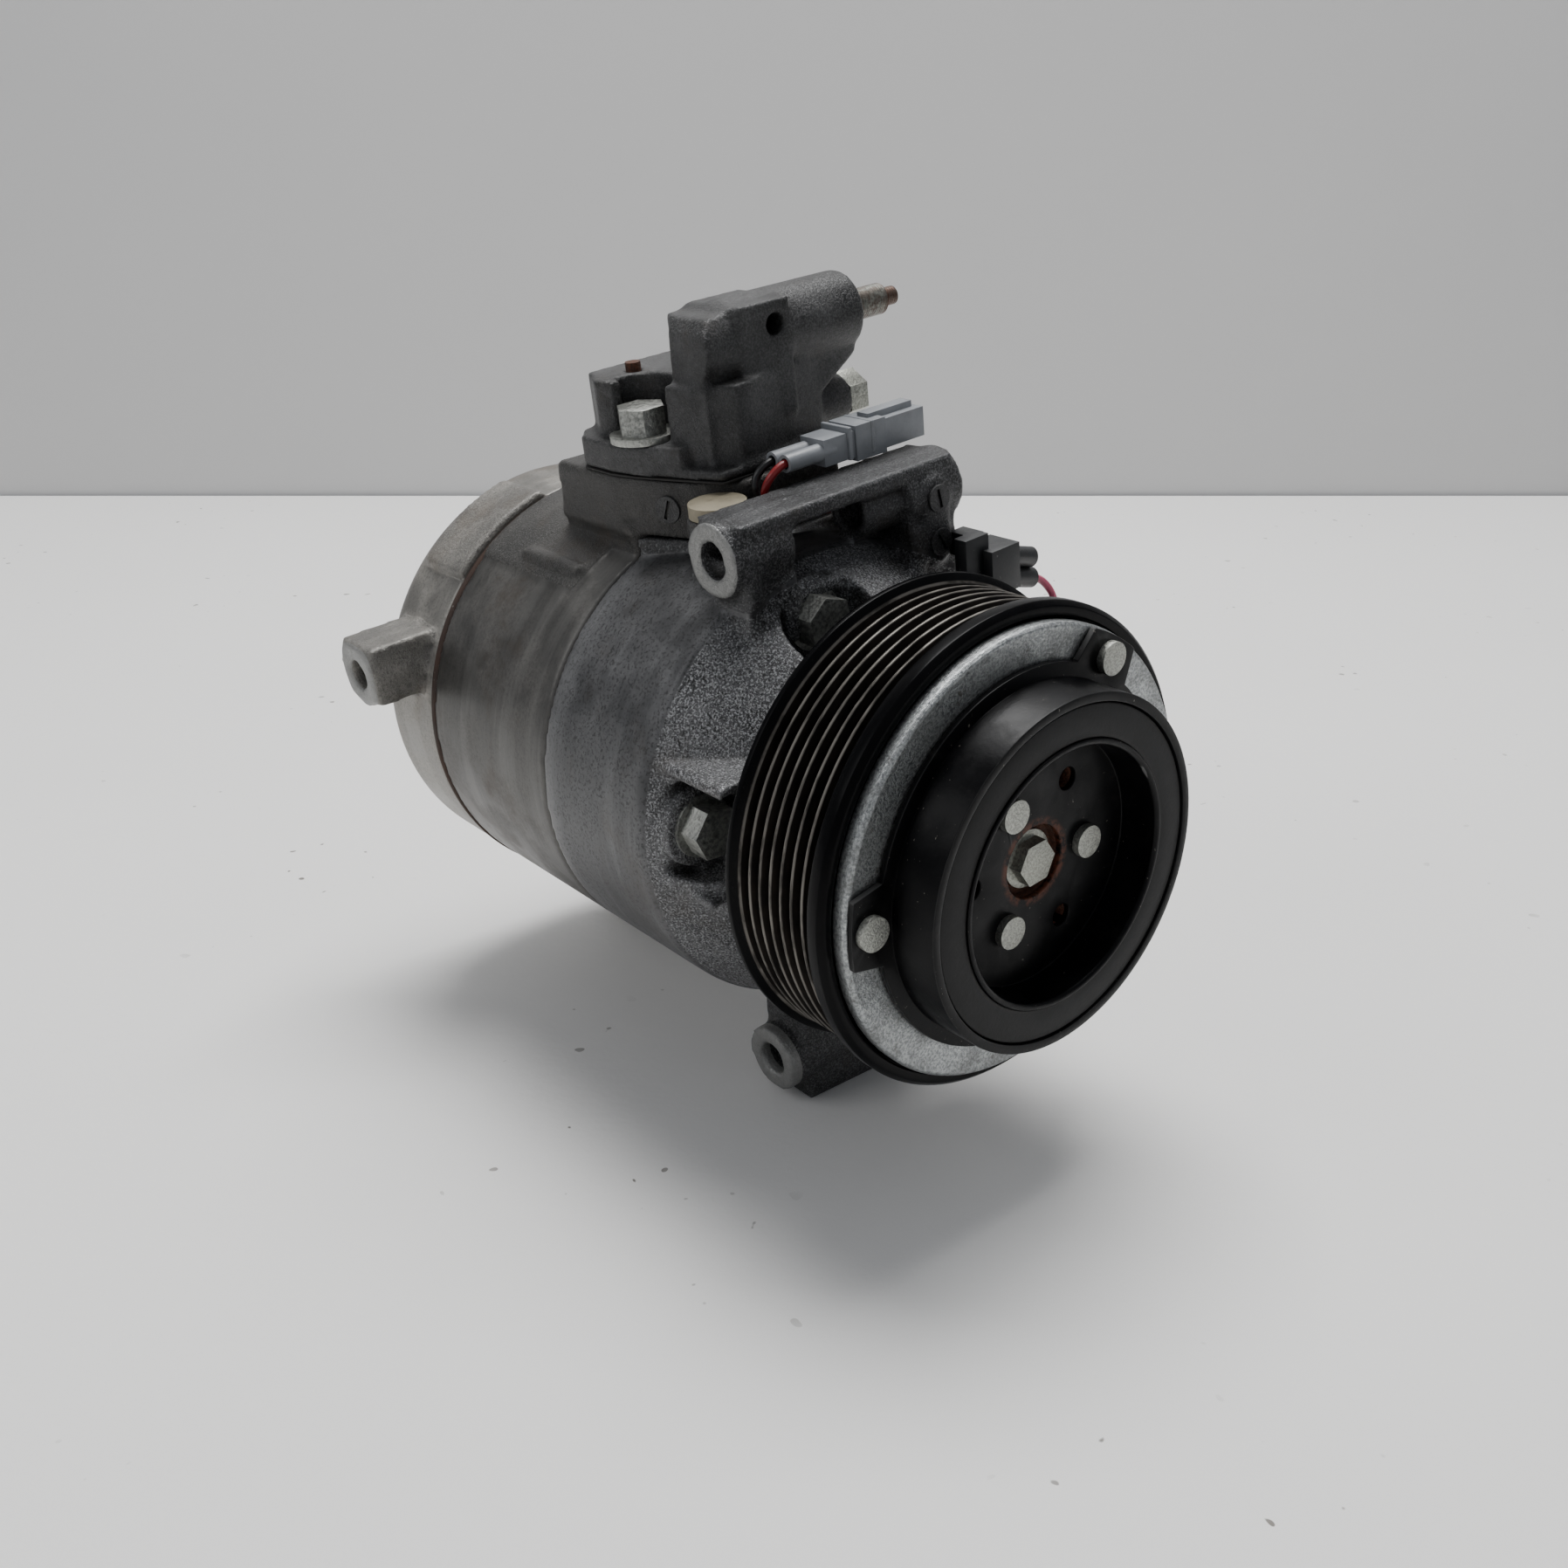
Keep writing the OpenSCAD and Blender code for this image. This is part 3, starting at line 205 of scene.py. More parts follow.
def along_shaft(tree, place):
    """The distance from the shaft's axis, and the place measured from the shaft's own zero, in metres."""
    flat = add_node(tree, "ShaderNodeMapping", {"Location": tuple(-shaft_line)}, {"Vector": place}).outputs[0]
    parts = add_node(tree, "ShaderNodeSeparateXYZ", {}, {0: flat}).outputs
    across = add_node(tree, "ShaderNodeCombineXYZ", {}, {0: parts[0], 2: parts[2]}).outputs[0]
    radius = add_node(tree, "ShaderNodeVectorMath", {"operation": "LENGTH"}, {0: across}).outputs["Value"]
    return radius, parts


def cast_alloy(name, dark, light, glint, stain, turned_from=None, stain_share=0.5, pit_and_glint_share=0.6,
               faced_at=None, outside_share=0.0):
    """Die-cast aluminium: mottled oxide and stains, painted glints on its grains, and turned and faced areas
    with painted highlight bands.
    """
    material, tree, shader, place = new_finish(name)
    patches = fade(tree, noise(tree, place, 15, 5, 0.62), 0.36, 0.66)
    fine = noise(tree, place, 1.1, 4, 0.7)
    grain = fade(tree, noise(tree, place, 0.5, 3, 0.65), 0.47, 0.64)
    pits = fade(tree, noise(tree, place, 0.8, 2, 0.6), 0.47, 0.38)
    tarnish = times(tree, fade(tree, noise(tree, place, 27, 6, 0.7), 0.52, 0.7), stain_share)
    edge = add_node(tree, "ShaderNodeNewGeometry").outputs["Pointiness"]
    worn = fade(tree, edge, 0.52, 0.58)
    grime = fade(tree, edge, 0.495, 0.455)
    skin = blend_tones(tree, patches, dark, light)
    skin = blend_tones(tree, times(tree, fade(tree, fine, 0.42, 0.6), 0.45), skin, dark)
    skin = blend_tones(tree, times(tree, pits, pit_and_glint_share), skin, "#1c1b1a")
    radius, parts = along_shaft(tree, place)
    outside = fade(tree, radius, 60.5 * mm, 63 * mm)
    skin = blend_tones(tree, times(tree, outside, outside_share), skin, "#262626")
    # Painted glints: bright specks on the grains stand in for light sparkling off the casting, fewer on the
    # ears and brackets.
    painted_glint_share = times(tree, times(tree, grain, pit_and_glint_share), fade(tree, outside, 0, 1, 1.0, 0.35))
    cast = blend_tones(tree, painted_glint_share, skin, glint)
    height = combine(tree, "ADD", times(tree, grain, 0.5), fine)
    relief_height = height
    if turned_from is not None:
        inside = fade(tree, radius, (turned_from + 1.1) * mm, (turned_from + 0.8) * mm)
        reached = fade(tree, radius, (turned_from - 0.6) * mm, (turned_from - 0.25) * mm)
        machined = times(tree, reached, inside)
        lathe = add_node(tree, "ShaderNodeMapping", {"Scale": (0.1, 1.0, 0.1)}, {"Vector": place}).outputs[0]
        lines = noise(tree, lathe, 1.0, 2, 0.6)
        bands = noise(tree, lathe, 9, 3, 0.6)
        turned_skin = blend_tones(tree, times(tree, lines, 0.35), skin, light)
        # Painted highlight: faint glint-coloured bands along the turned areas.
        turned_skin = blend_tones(tree, times(tree, fade(tree, bands, 0.45, 0.65), 0.14), turned_skin, glint)
        cast = blend_tones(tree, machined, cast, turned_skin)
        relief_height = add_node(tree, "ShaderNodeMix", {},
                                 {0: machined, 2: height, 3: times(tree, lines, 0.2)}).outputs[0]
    cast = blend_tones(tree, tarnish, cast, stain)
    if faced_at is not None:
        low_end, high_end = faced_at
        across = combine(tree, "ADD", times(tree, parts[0], math.cos(lean)),
                         times(tree, parts[2], math.sin(lean)))
        ends = combine(tree, "MAXIMUM", fade(tree, across, (low_end + 0.7) * mm, (low_end + 0.45) * mm),
                       fade(tree, across, (high_end - 0.7) * mm, (high_end - 0.45) * mm))
        faced = times(tree, ends, fade(tree, radius, 61.6 * mm, 62.4 * mm))
        cast = blend_tones(tree, faced, cast, blend_tones(tree, fine, "#737371", "#969694"))
    cast = blend_tones(tree, times(tree, grime, 0.7), cast, "#1d1b19")
    cast = blend_tones(tree, times(tree, worn, 0.5), cast, light)
    tree.links.new(cast, shader.inputs["Base Color"])
    shader.inputs["Metallic"].default_value = 0.6
    tree.links.new(fade(tree, patches, 0, 1, 0.4, 0.54), shader.inputs["Roughness"])
    tree.links.new(bump(tree, relief_height, 0.16), shader.inputs["Normal"])
    return material


def dress(node_names, material):
    """Gives CAD nodes a finish; their shapes stay as the CAD made them."""
    for node_name in node_names:
        mesh = nodes[node_name].data
        mesh.materials.clear()
        mesh.materials.append(material)
        mesh.polygons.foreach_set("material_index", [0] * len(mesh.polygons))


def finish_piece(piece, name, material, body, replaced=()):
    """Names a finished piece, gives it its only material, and ties it to its body and CAD nodes."""
    piece.name = name
    piece.data.name = name
    piece.data.materials.clear()
    piece.data.materials.append(material)
    piece.data.polygons.foreach_set("material_index", [0] * len(piece.data.polygons))
    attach(piece, body)
    if replaced:
        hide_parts(*replaced)
    return piece


def copy_of(node_name):
    """A merged copy of a CAD node's mesh, selected and active, to be worked on."""
    bpy.ops.object.select_all(action="DESELECT")
    piece = bpy.data.objects.new(node_name + "_copy", nodes[node_name].data.copy())
    bpy.context.scene.collection.objects.link(piece)
    piece.select_set(True)
    bpy.context.view_layer.objects.active = piece
    bpy.ops.object.mode_set(mode="EDIT")
    bpy.ops.mesh.select_all(action="SELECT")
    bpy.ops.mesh.remove_doubles(threshold=0.000002)
    bpy.ops.mesh.customdata_custom_splitnormals_clear()
    bpy.ops.object.mode_set(mode="OBJECT")
    return piece


def add_modifier(piece, kind, **settings):
    """Adds a modifier with these settings and applies it."""
    bpy.ops.object.select_all(action="DESELECT")
    piece.select_set(True)
    bpy.context.view_layer.objects.active = piece
    modifier = piece.modifiers.new(kind.lower(), kind)
    for key, value in settings.items():
        setattr(modifier, key, value)
    bpy.ops.object.modifier_apply(modifier=modifier.name)


def settle(piece):
    """Lays a shape made in the shaft's own millimetre frame down into the row frame, in metres."""
    bpy.context.view_layer.update()
    piece.matrix_world = lay_down @ Matrix.Scale(mm, 4) @ piece.matrix_world
    bpy.ops.object.select_all(action="DESELECT")
    piece.select_set(True)
    bpy.context.view_layer.objects.active = piece
    bpy.ops.object.transform_apply(location=True, rotation=True, scale=True)
    return piece


def block_shape(low, high, round_mm=0.0):
    """A box between two corners in the shaft's frame, with its edges rounded by round_mm."""
    bpy.ops.object.select_all(action="DESELECT")
    middle = [(a + b) / 2 for a, b in zip(low, high)]
    bpy.ops.mesh.primitive_cube_add(size=1, location=middle, scale=[b - a for a, b in zip(low, high)])
    piece = settle(bpy.context.object)
    if round_mm:
        add_modifier(piece, "BEVEL", width=round_mm * mm, segments=3)
    return piece


def round_shape(radius, depth, middle, turn=(0, 0, 0), sides=48, round_mm=0.0, top=None):
    """A cylinder in the shaft's frame, or a cone with the given top radius, with rounded rims."""
    bpy.ops.object.select_all(action="DESELECT")
    bpy.ops.mesh.primitive_cone_add(vertices=sides, radius1=radius, radius2=radius if top is None else top,
                                    depth=depth, location=middle, rotation=turn)
    piece = settle(bpy.context.object)
    if round_mm:
        add_modifier(piece, "BEVEL", width=round_mm * mm, segments=3, limit_method="ANGLE", angle_limit=0.7)
    return piece


def casting(name, node_name, extras, material, body, grid_mm, passes=4, keep=0.6, cutters=()):
    """A CAD casting with its details, melted into one skin with soft inner corners and rounded edges."""
    piece = copy_of(node_name)
    for cutter in cutters:
        add_modifier(piece, "BOOLEAN", object=cutter, operation="DIFFERENCE", solver="EXACT")
        bpy.data.objects.remove(cutter)
    bpy.ops.object.select_all(action="DESELECT")
    for extra in extras:
        extra.select_set(True)
    piece.select_set(True)
    bpy.context.view_layer.objects.active = piece
    bpy.ops.object.join()
    grid_share = 1.0
    add_modifier(piece, "REMESH", mode="VOXEL", voxel_size=grid_mm * grid_share * mm, adaptivity=0.0)
    add_modifier(piece, "SMOOTH", factor=0.5, iterations=passes)
    add_modifier(piece, "DECIMATE", ratio=keep)
    bpy.ops.object.shade_smooth()
    return finish_piece(piece, name, material, body, [node_name])


def refined(node_names, name, material, body, edge_mm=0.25, segments=2):
    """Copies of CAD nodes as one piece, with fine rounded edges that catch the light."""
    pieces = [copy_of(node_name) for node_name in node_names]
    bpy.ops.object.select_all(action="DESELECT")
    for piece in pieces:
        piece.select_set(True)
    bpy.context.view_layer.objects.active = pieces[0]
    if len(pieces) > 1:
        bpy.ops.object.join()
    piece = pieces[0]
    if edge_mm:
        add_modifier(piece, "BEVEL", width=edge_mm * mm, segments=segments, limit_method="ANGLE",
                     angle_limit=0.6, use_clamp_overlap=True)
    bpy.ops.object.shade_smooth_by_angle(angle=0.6)
    return finish_piece(piece, name, material, body, node_names)


def bolt_centre(index):
    """The x and z of a body bolt in the shaft's own frame, in millimetres."""
    turn = math.radians(bolt_angle + 360 / bolt_count * index)
    return bolt_circle * math.cos(turn), bolt_circle * math.sin(turn)


front_extras = []
for index in range(bolt_count):
    x, z = bolt_centre(index)
    front_extras.append(round_shape(10.2, 6.5, (x, 32.5, z), upright, top=10.6))
# Ledges over the two bolts beside the pulley, and the webs that carry them into the cone
front_extras.append(block_shape((-54.5, 10, 23.4), (-38, 35.6, 26)))
front_extras.append(block_shape((-55, 19, -9.4), (-40, 35, -6.8)))
ledge_x, ledge_z = bolt_centre(0)
front_extras.append(block_shape((ledge_x - 14, 27, ledge_z - 10), (ledge_x - 11, 36, ledge_z + 5)))
front_extras.append(block_shape((ledge_x - 12, 28, ledge_z + 5.4), (ledge_x + 11, 36, ledge_z + 8)))
front_extras.append(block_shape((ledge_x + 9, 27, ledge_z - 9), (ledge_x + 12, 36, ledge_z + 5)))
# Oval pad and ribs on the right leg of the upper bracket, and a rib down its left leg
front_extras.append(block_shape((29.4, 26.6, 54), (37.6, 29, 67.5)))
front_extras.append(block_shape((-27.3, 26.7, 56), (-23.6, 40, 66)))
front_extras.append(block_shape((-16, 26.8, 44), (-12.4, 40, 60)))
front_extras.append(block_shape((25.2, 26.8, 44), (28.6, 40, 60)))
front_extras.append(block_shape((-24, 35.6, 75.4), (38, 36.4, 76.15)))
front_ear_ends = (-30.4, 43.4)
front_alloy = cast_alloy("die_cast_front_alloy", "#414142", "#626263", "#a9aaab", "#433b33", turned_radius,
                         stain_share=0.35, pit_and_glint_share=0.75, faced_at=front_ear_ends, outside_share=0.62)
# Round pockets for a socket over the bolt heads; four lie a little further out than their bolt
pocket_radius = 12.6
pocket_reach = 1.06
pocket_cutters = []
for index in range(bolt_count):
    x, z = bolt_centre(index)
    reach = pocket_reach if index else 1.0
    pocket_cutters.append(round_shape(pocket_radius, 24, (x * reach, 20, z * reach), upright))
casting("front_casting", "front_housing", front_extras, front_alloy, "housing", 0.95,
        cutters=pocket_cutters)


def plain_metal(name, dark, light, rough, metallic=1.0, speck="#3a3835", speck_share=0.3, grain_mm=1.0,
                depth_mm=0.05):
    """Plated or ground steel: two close tones in fine grains, a few dark specks, and a faint relief."""
    material, tree, shader, place = new_finish(name)
    grains = fade(tree, noise(tree, place, grain_mm, 3, 0.6), 0.35, 0.65)
    specks = times(tree, fade(tree, noise(tree, place, grain_mm * 1.7, 4, 0.7), 0.56, 0.7), speck_share)
    colour = blend_tones(tree, specks, blend_tones(tree, grains, dark, light), speck)
    tree.links.new(colour, shader.inputs["Base Color"])
    shader.inputs["Metallic"].default_value = metallic
    tree.links.new(fade(tree, grains, 0, 1, rough - 0.06, rough + 0.06), shader.inputs["Roughness"])
    tree.links.new(bump(tree, grains, depth_mm), shader.inputs["Normal"])
    return material


mark_radius = 3.5
mark_height = 0.9
slot_size = (0.9, 5.0, 3.0)


def slotted_mark(name, middle, turn, slot_turn, material):
    """A small round foundry mark with a slot across it."""
    disc = round_shape(mark_radius, mark_height, middle, turn, 40, 0.15)
    bpy.ops.object.select_all(action="DESELECT")
    bpy.ops.mesh.primitive_cube_add(size=1, location=middle, rotation=turn)
    cutter = bpy.context.object
    cutter.scale = slot_size
    disc_turn = (Matrix.Rotation(turn[2], 3, "Z") @ Matrix.Rotation(turn[1], 3, "Y")
                 @ Matrix.Rotation(turn[0], 3, "X"))
    cutter.rotation_euler = (disc_turn @ Matrix.Rotation(slot_turn, 3, "Z")).to_euler()
    cutter = settle(cutter)
    add_modifier(disc, "BOOLEAN", object=cutter, operation="DIFFERENCE", solver="EXACT")
    bpy.data.objects.remove(cutter)
    return finish_piece(disc, name, material, "housing")


mark_alloy = cast_alloy("mark_alloy", "#343434", "#525252", "#8c8c8c", "#37312b",
                        stain_share=0.3, pit_and_glint_share=0.3)
slotted_mark("pad_mark_low", (33.5, 26.1, 55.2), upright, 0.5, mark_alloy)
slotted_mark("pad_mark_high", (33.5, 26.1, 66.4), upright, 0.2, mark_alloy)

# ---- Cylinder block ----
# Aluminium, turned smooth outside, with the cast pad for the manifold standing on top of it.
# A low cast step with a broken flash line runs round its upper side.
base_mark_turn = (0, math.pi / 2, 0.41)
block_extras = [
    block_shape((-34, 92, 46), (-30.4, 118, 55)),
    block_shape((-23.4, 80, 62), (-20.6, 111, 64.6)),
    block_shape((-22.9, 84, 66), (-22.1, 110, 67)),
    round_shape(4.6, 2.4, (-17.0, 69.2, 70.2), base_mark_turn),
]
block_alloy = cast_alloy("turned_block_alloy", "#434240", "#5f5d5a", "#93928f", "#453d35", turned_radius,
                         stain_share=0.6, pit_and_glint_share=0.25, outside_share=0.5)
casting("block_casting", "cylinder_block", block_extras, block_alloy, "housing", 1.05)
slotted_mark("base_mark", (-18.3, 68.6, 70.2), base_mark_turn, 1.9, mark_alloy)

# ---- Gaskets and seals of the body ----
# Brown gasket board with a bead squeezed out along its edge, dark board, and black rubber rings.
# All are soft and matt; the boards are clamped by the body bolts, with oil stains on them.


def satin_coat(name, dark, light, rough, dust="#4a4743", dust_share=0.3, grain_mm=1.4, depth_mm=0.04):
    """A black or coloured coat or moulding: close tones, patchy dust, and a fine orange-peel relief."""
    material, tree, shader, place = new_finish(name)
    clouds = fade(tree, noise(tree, place, 14, 4, 0.6), 0.3, 0.7)
    film = times(tree, fade(tree, noise(tree, place, 9, 6, 0.7), 0.52, 0.75), dust_share)
    specks = times(tree, fade(tree, noise(tree, place, 1.3, 2, 0.5), 0.7, 0.76), dust_share)
    colour = blend_tones(tree, film, blend_tones(tree, clouds, dark, light), dust)
    colour = blend_tones(tree, specks, colour, "#8d8a84")
    tree.links.new(colour, shader.inputs["Base Color"])
    tree.links.new(fade(tree, clouds, 0, 1, rough - 0.05, rough + 0.07), shader.inputs["Roughness"])
    tree.links.new(bump(tree, noise(tree, place, grain_mm, 3, 0.6), depth_mm), shader.inputs["Normal"])
    return material


brown_board = satin_coat("brown_gasket_board", "#2b1d16", "#3e2b21", 0.75, "#1c1512", 0.5, 0.6, 0.08)
refined(["rear_gasket"], "rear_gasket_board", brown_board, "housing", 0.2)
gasket_station = 137.05
bead_ring_radius = 59.9
bead_radius = 1.45
bpy.ops.object.select_all(action="DESELECT")
bpy.ops.mesh.primitive_torus_add(major_radius=bead_ring_radius, minor_radius=bead_radius, major_segments=192,
                                 minor_segments=16, location=(0, gasket_station, 0), rotation=upright)
gasket_bead = settle(bpy.context.object)
bpy.ops.object.shade_smooth()
finish_piece(gasket_bead, "rear_gasket_bead", brown_board, "housing")
dark_board = satin_coat("dark_gasket_board", "#171615", "#242220", 0.75, "#131211", 0.5, 0.6, 0.08)
refined(["manifold_gasket"], "manifold_gasket_board", dark_board, "housing", 0.1)
black_rubber = satin_coat("black_rubber", "#121213", "#1b1b1c", 0.6, "#33312f", 0.3, 0.8)
dress(["body_o_ring", "shaft_seal", "bearing_shields"], black_rubber)

# ---- Rear housing ----
# Cast aluminium with a turned front rim, raised sector pads, a threaded lug and a foot.
# The lug's end is faced; everything else keeps the soft shape of the mould.
rear_extras = [
    block_shape((-66, 141.4, 15.5), (-52, 159, 30.4)),
    block_shape((-60, 148.6, 8), (-40, 151.8, 20)),
    block_shape((-3.4, 140, -78), (0.4, 158, -52)),
]
rear_lug_ends = (-73.9, 90)
rear_alloy = cast_alloy("cast_rear_alloy", "#6e6c68", "#908d87", "#b4b2ac", "#62564a", turned_radius,
                        faced_at=rear_lug_ends, pit_and_glint_share=0.3)
casting("rear_casting", "rear_housing", rear_extras, rear_alloy, "housing", 1.05)

# ---- Body bolts and valve ----
# Five long zinc-plated bolts, their washers seated in the pockets of the cone.
# The heads are chamfered hexagons; the control valve is plated brass.
bolt_zinc = plain_metal("dulled_zinc_bolt", "#82837f", "#a9aaa4", 0.36, 0.85, "#45423d", 0.55, 0.9)
refined(["through_bolts"], "body_bolts", bolt_zinc, "housing", 0.55, 3)
valve_plate_metal = plain_metal("plated_valve_body", "#8b7b55", "#a5946a", 0.35, 0.95, "#5f5338", 0.3, 0.9)
refined(["control_valve"], "control_valve_body", valve_plate_metal, "housing", 0.4)

# ---- Bearings, valve plate and springs ----
# Ground bearing steel, the lapped valve plate with its blued reeds, and blued snap rings.
# They sit inside the unit, so each keeps its plain turned shape.
ground_steel = plain_metal("ground_steel", "#a3a4a6", "#bcbdbf", 0.25, 1.0, "#77787a", 0.2, 0.5, 0.01)
shoe_nodes = ["shoes_%d" % number for number in range(1, 6)]
dress(["shaft", "bearing_inner_ring", "bearing_outer_ring", "bearing_balls", "needle_bearings",
       "thrust_bearings", "valve_plate", "shim_washers"] + shoe_nodes, ground_steel)
spring_steel = plain_metal("blued_spring_steel", "#3b3e42", "#52565b", 0.35, 1.0, "#1c1e21", 0.3, 0.6)
dress(["bearing_snap_ring", "coil_snap_ring", "seal_snap_ring", "discharge_reeds"], spring_steel)

# ---- Coil ----
# A painted steel can round a winding of enamelled copper wire, held on the nose by a snap ring.
# The can is pressed, so its rim is softly rounded.
coil_paint = satin_coat("painted_coil_can", "#101113", "#1c1d20", 0.45, "#33312e", 0.35)
refined(["coil_case"], "coil_can", coil_paint, "housing", 0.4, 3)
copper = plain_metal("enamelled_copper_wire", "#8a4a25", "#b0683a", 0.35, 0.9, "#5d2f17", 0.3, 0.5)
dress(["coil_winding"], copper)

# ---- Pulley ----
# Turned steel with a black coat. The ridges are lightened for belt wear and a painted highlight, and the belt
# has left a brown film in the grooves; the two end rims stay glossy black.
belt_coat, tree, shader, place = new_finish("belt_grooves_worn_and_highlit")
radius, parts = along_shaft(tree, place)
past_grooves = fade(tree, parts[1], 3.3 * mm, 3.5 * mm)
from_front_rim = fade(tree, parts[1], -21.4 * mm, -21.3 * mm)
in_grooves = times(tree, combine(tree, "SUBTRACT", from_front_rim, past_grooves),
                   fade(tree, radius, 53.6 * mm, 53.9 * mm))
ring_map = add_node(tree, "ShaderNodeMapping", {"Scale": (0.15, 1.0, 0.15)}, {"Vector": place}).outputs[0]
streaks = noise(tree, ring_map, 1.2, 3, 0.6)
ridge_wear_and_highlight = times(tree, fade(tree, radius, 56.75 * mm, 57.0 * mm), in_grooves)
flank = times(tree, fade(tree, radius, 54.2 * mm, 55.8 * mm), in_grooves)
coat = blend_tones(tree, fade(tree, noise(tree, place, 11, 4, 0.6), 0.35, 0.7), "#030304", "#070708")
coat = blend_tones(tree, times(tree, flank, fade(tree, streaks, 0.3, 0.7, 0.2, 0.6)), coat, "#2a2420")
# Painted highlight: the ridge tops are lightened, partly as belt wear and partly as a painted highlight.
coat = blend_tones(tree, times(tree, ridge_wear_and_highlight, fade(tree, streaks, 0.35, 0.6, 0.25, 0.9)), coat, "#77736d")
tree.links.new(coat, shader.inputs["Base Color"])
tree.links.new(times(tree, in_grooves, 0.55), shader.inputs["Metallic"])
tree.links.new(fade(tree, in_grooves, 0, 1, 0.26, 0.42), shader.inputs["Roughness"])
shader.inputs["Specular IOR Level"].default_value = 0.07
tree.links.new(bump(tree, streaks, 0.03), shader.inputs["Normal"])
refined(["pulley"], "grooved_pulley", belt_coat, "pulley_wheel", 0.22, 2)

# ---- Armature, drive plate and outer rivets ----
# The armature plate is ground steel, dulled and dusty; the lobed drive plate in front of it has a
# satin black coat worn bright on its thin edges. Three zinc-plated rivets hold them together.
armature_metal, tree, shader, place = new_finish("dusty_armature_steel")
grains = fade(tree, noise(tree, place, 0.7, 4, 0.7), 0.35, 0.66)
clouds = fade(tree, noise(tree, place, 10, 5, 0.65), 0.38, 0.68)
skin = blend_tones(tree, grains, "#7d8081", "#b9bcbc")
skin = blend_tones(tree, times(tree, clouds, 0.45), skin, "#62625f")
stains = fade(tree, noise(tree, place, 5, 6, 0.75), 0.6, 0.7)
skin = blend_tones(tree, times(tree, stains, 0.6), skin, "#4c443b")
tree.links.new(skin, shader.inputs["Base Color"])
shader.inputs["Metallic"].default_value = 0.9
tree.links.new(fade(tree, clouds, 0, 1, 0.32, 0.48), shader.inputs["Roughness"])
tree.links.new(bump(tree, grains, 0.06), shader.inputs["Normal"])
refined(["armature_plate"], "armature_disc", armature_metal, "armature", 0.5, 3)


def worn_black(name, rust_share=0.0, rust_within=0.0, gloss=0.3):
    """Satin black coat rubbed to metal on its edges, dusty in places, rusty round the shaft."""
    material, tree, shader, place = new_finish(name)
    radius = along_shaft(tree, place)[0]
    clouds = fade(tree, noise(tree, place, 12, 5, 0.65), 0.35, 0.7)
    coat = blend_tones(tree, clouds, "#020203", "#050507")
    dust = times(tree, fade(tree, noise(tree, place, 7, 6, 0.75), 0.55, 0.75), 0.22)
    coat = blend_tones(tree, dust, coat, "#3a3835")
    crumbs_here = times(tree, fade(tree, noise(tree, place, 1.1, 2, 0.5), 0.72, 0.77), 0.5)
    coat = blend_tones(tree, crumbs_here, coat, "#7b776f")
    worn = fade(tree, add_node(tree, "ShaderNodeNewGeometry").outputs["Pointiness"], 0.53, 0.6)
    coat = blend_tones(tree, times(tree, worn, 0.55), coat, "#6f6f6e")
    if rust_share:
        near = fade(tree, radius, rust_within * mm, (rust_within - 1.6) * mm)
        patch = fade(tree, noise(tree, place, 2.6, 5, 0.7), 0.4, 0.6)
        coat = blend_tones(tree, times(tree, times(tree, near, patch), rust_share), coat, "#5a3425")
    tree.links.new(coat, shader.inputs["Base Color"])
    tree.links.new(fade(tree, clouds, 0, 1, gloss, gloss + 0.14), shader.inputs["Roughness"])
    shader.inputs["Specular IOR Level"].default_value = 0.12
    tree.links.new(bump(tree, noise(tree, place, 1.0, 3, 0.6), 0.03), shader.inputs["Normal"])
    return material


drive_coat = worn_black("worn_drive_plate_coat", gloss=0.28)
refined(["drive_plate"], "lobed_drive_plate", drive_coat, "armature", 0.3, 2)
rivet_zinc = plain_metal("speckled_zinc_rivets", "#8d8e88", "#b5b6ae", 0.4, 0.75, "#5c5a53", 0.6, 0.5, 0.06)
refined(["outer_rivets"], "outer_rivet_heads", rivet_zinc, "armature", 0.9, 4)

# ---- Hub, damper and centre bolt ----
# A pressed hub plate with three round holes and three rivets, bonded by a rubber ring into the drum.
# The boss is bare steel that has rusted round the plated centre bolt.
hub_coat = worn_black("worn_hub_coat", 0.85, 11.5, 0.32)
refined(["hub_plate"], "hub_cup", hub_coat, "drive_shaft", 0.35, 3)
rubber, tree, shader, place = new_finish("bonded_rubber")
radius = along_shaft(tree, place)[0]
lips = combine(tree, "MAXIMUM", fade(tree, radius, 33.6 * mm, 33.0 * mm),
               fade(tree, radius, 40.0 * mm, 40.5 * mm))
skin = blend_tones(tree, fade(tree, noise(tree, place, 8, 5, 0.7), 0.35, 0.7), "#060606", "#0e0e0f")
skin = blend_tones(tree, times(tree, lips, 0.5), skin, "#1d1c1b")
tree.links.new(skin, shader.inputs["Base Color"])
shader.inputs["Roughness"].default_value = 0.5
shader.inputs["Specular IOR Level"].default_value = 0.2
tree.links.new(bump(tree, noise(tree, place, 0.9, 3, 0.6), 0.04), shader.inputs["Normal"])
refined(["damper_rubber"], "damper_ring", rubber, "drive_shaft", 0.4, 3)
rusty = plain_metal("rusted_steel", "#3d2519", "#5d3827", 0.75, 0.15, "#1f130d", 0.5, 0.9, 0.12)
refined(["hub_boss"], "rusted_hub_boss", rusty, "drive_shaft", 0.3)
refined(["inner_rivets"], "inner_rivet_heads", rivet_zinc, "drive_shaft", 0.9, 4)
bright_zinc = plain_metal("plated_centre_bolt", "#84857e", "#abaca3", 0.38, 0.85, "#57534a", 0.5, 0.6, 0.05)
refined(["centre_bolt"], "centre_bolt_head", bright_zinc, "drive_shaft", 0.45, 3)

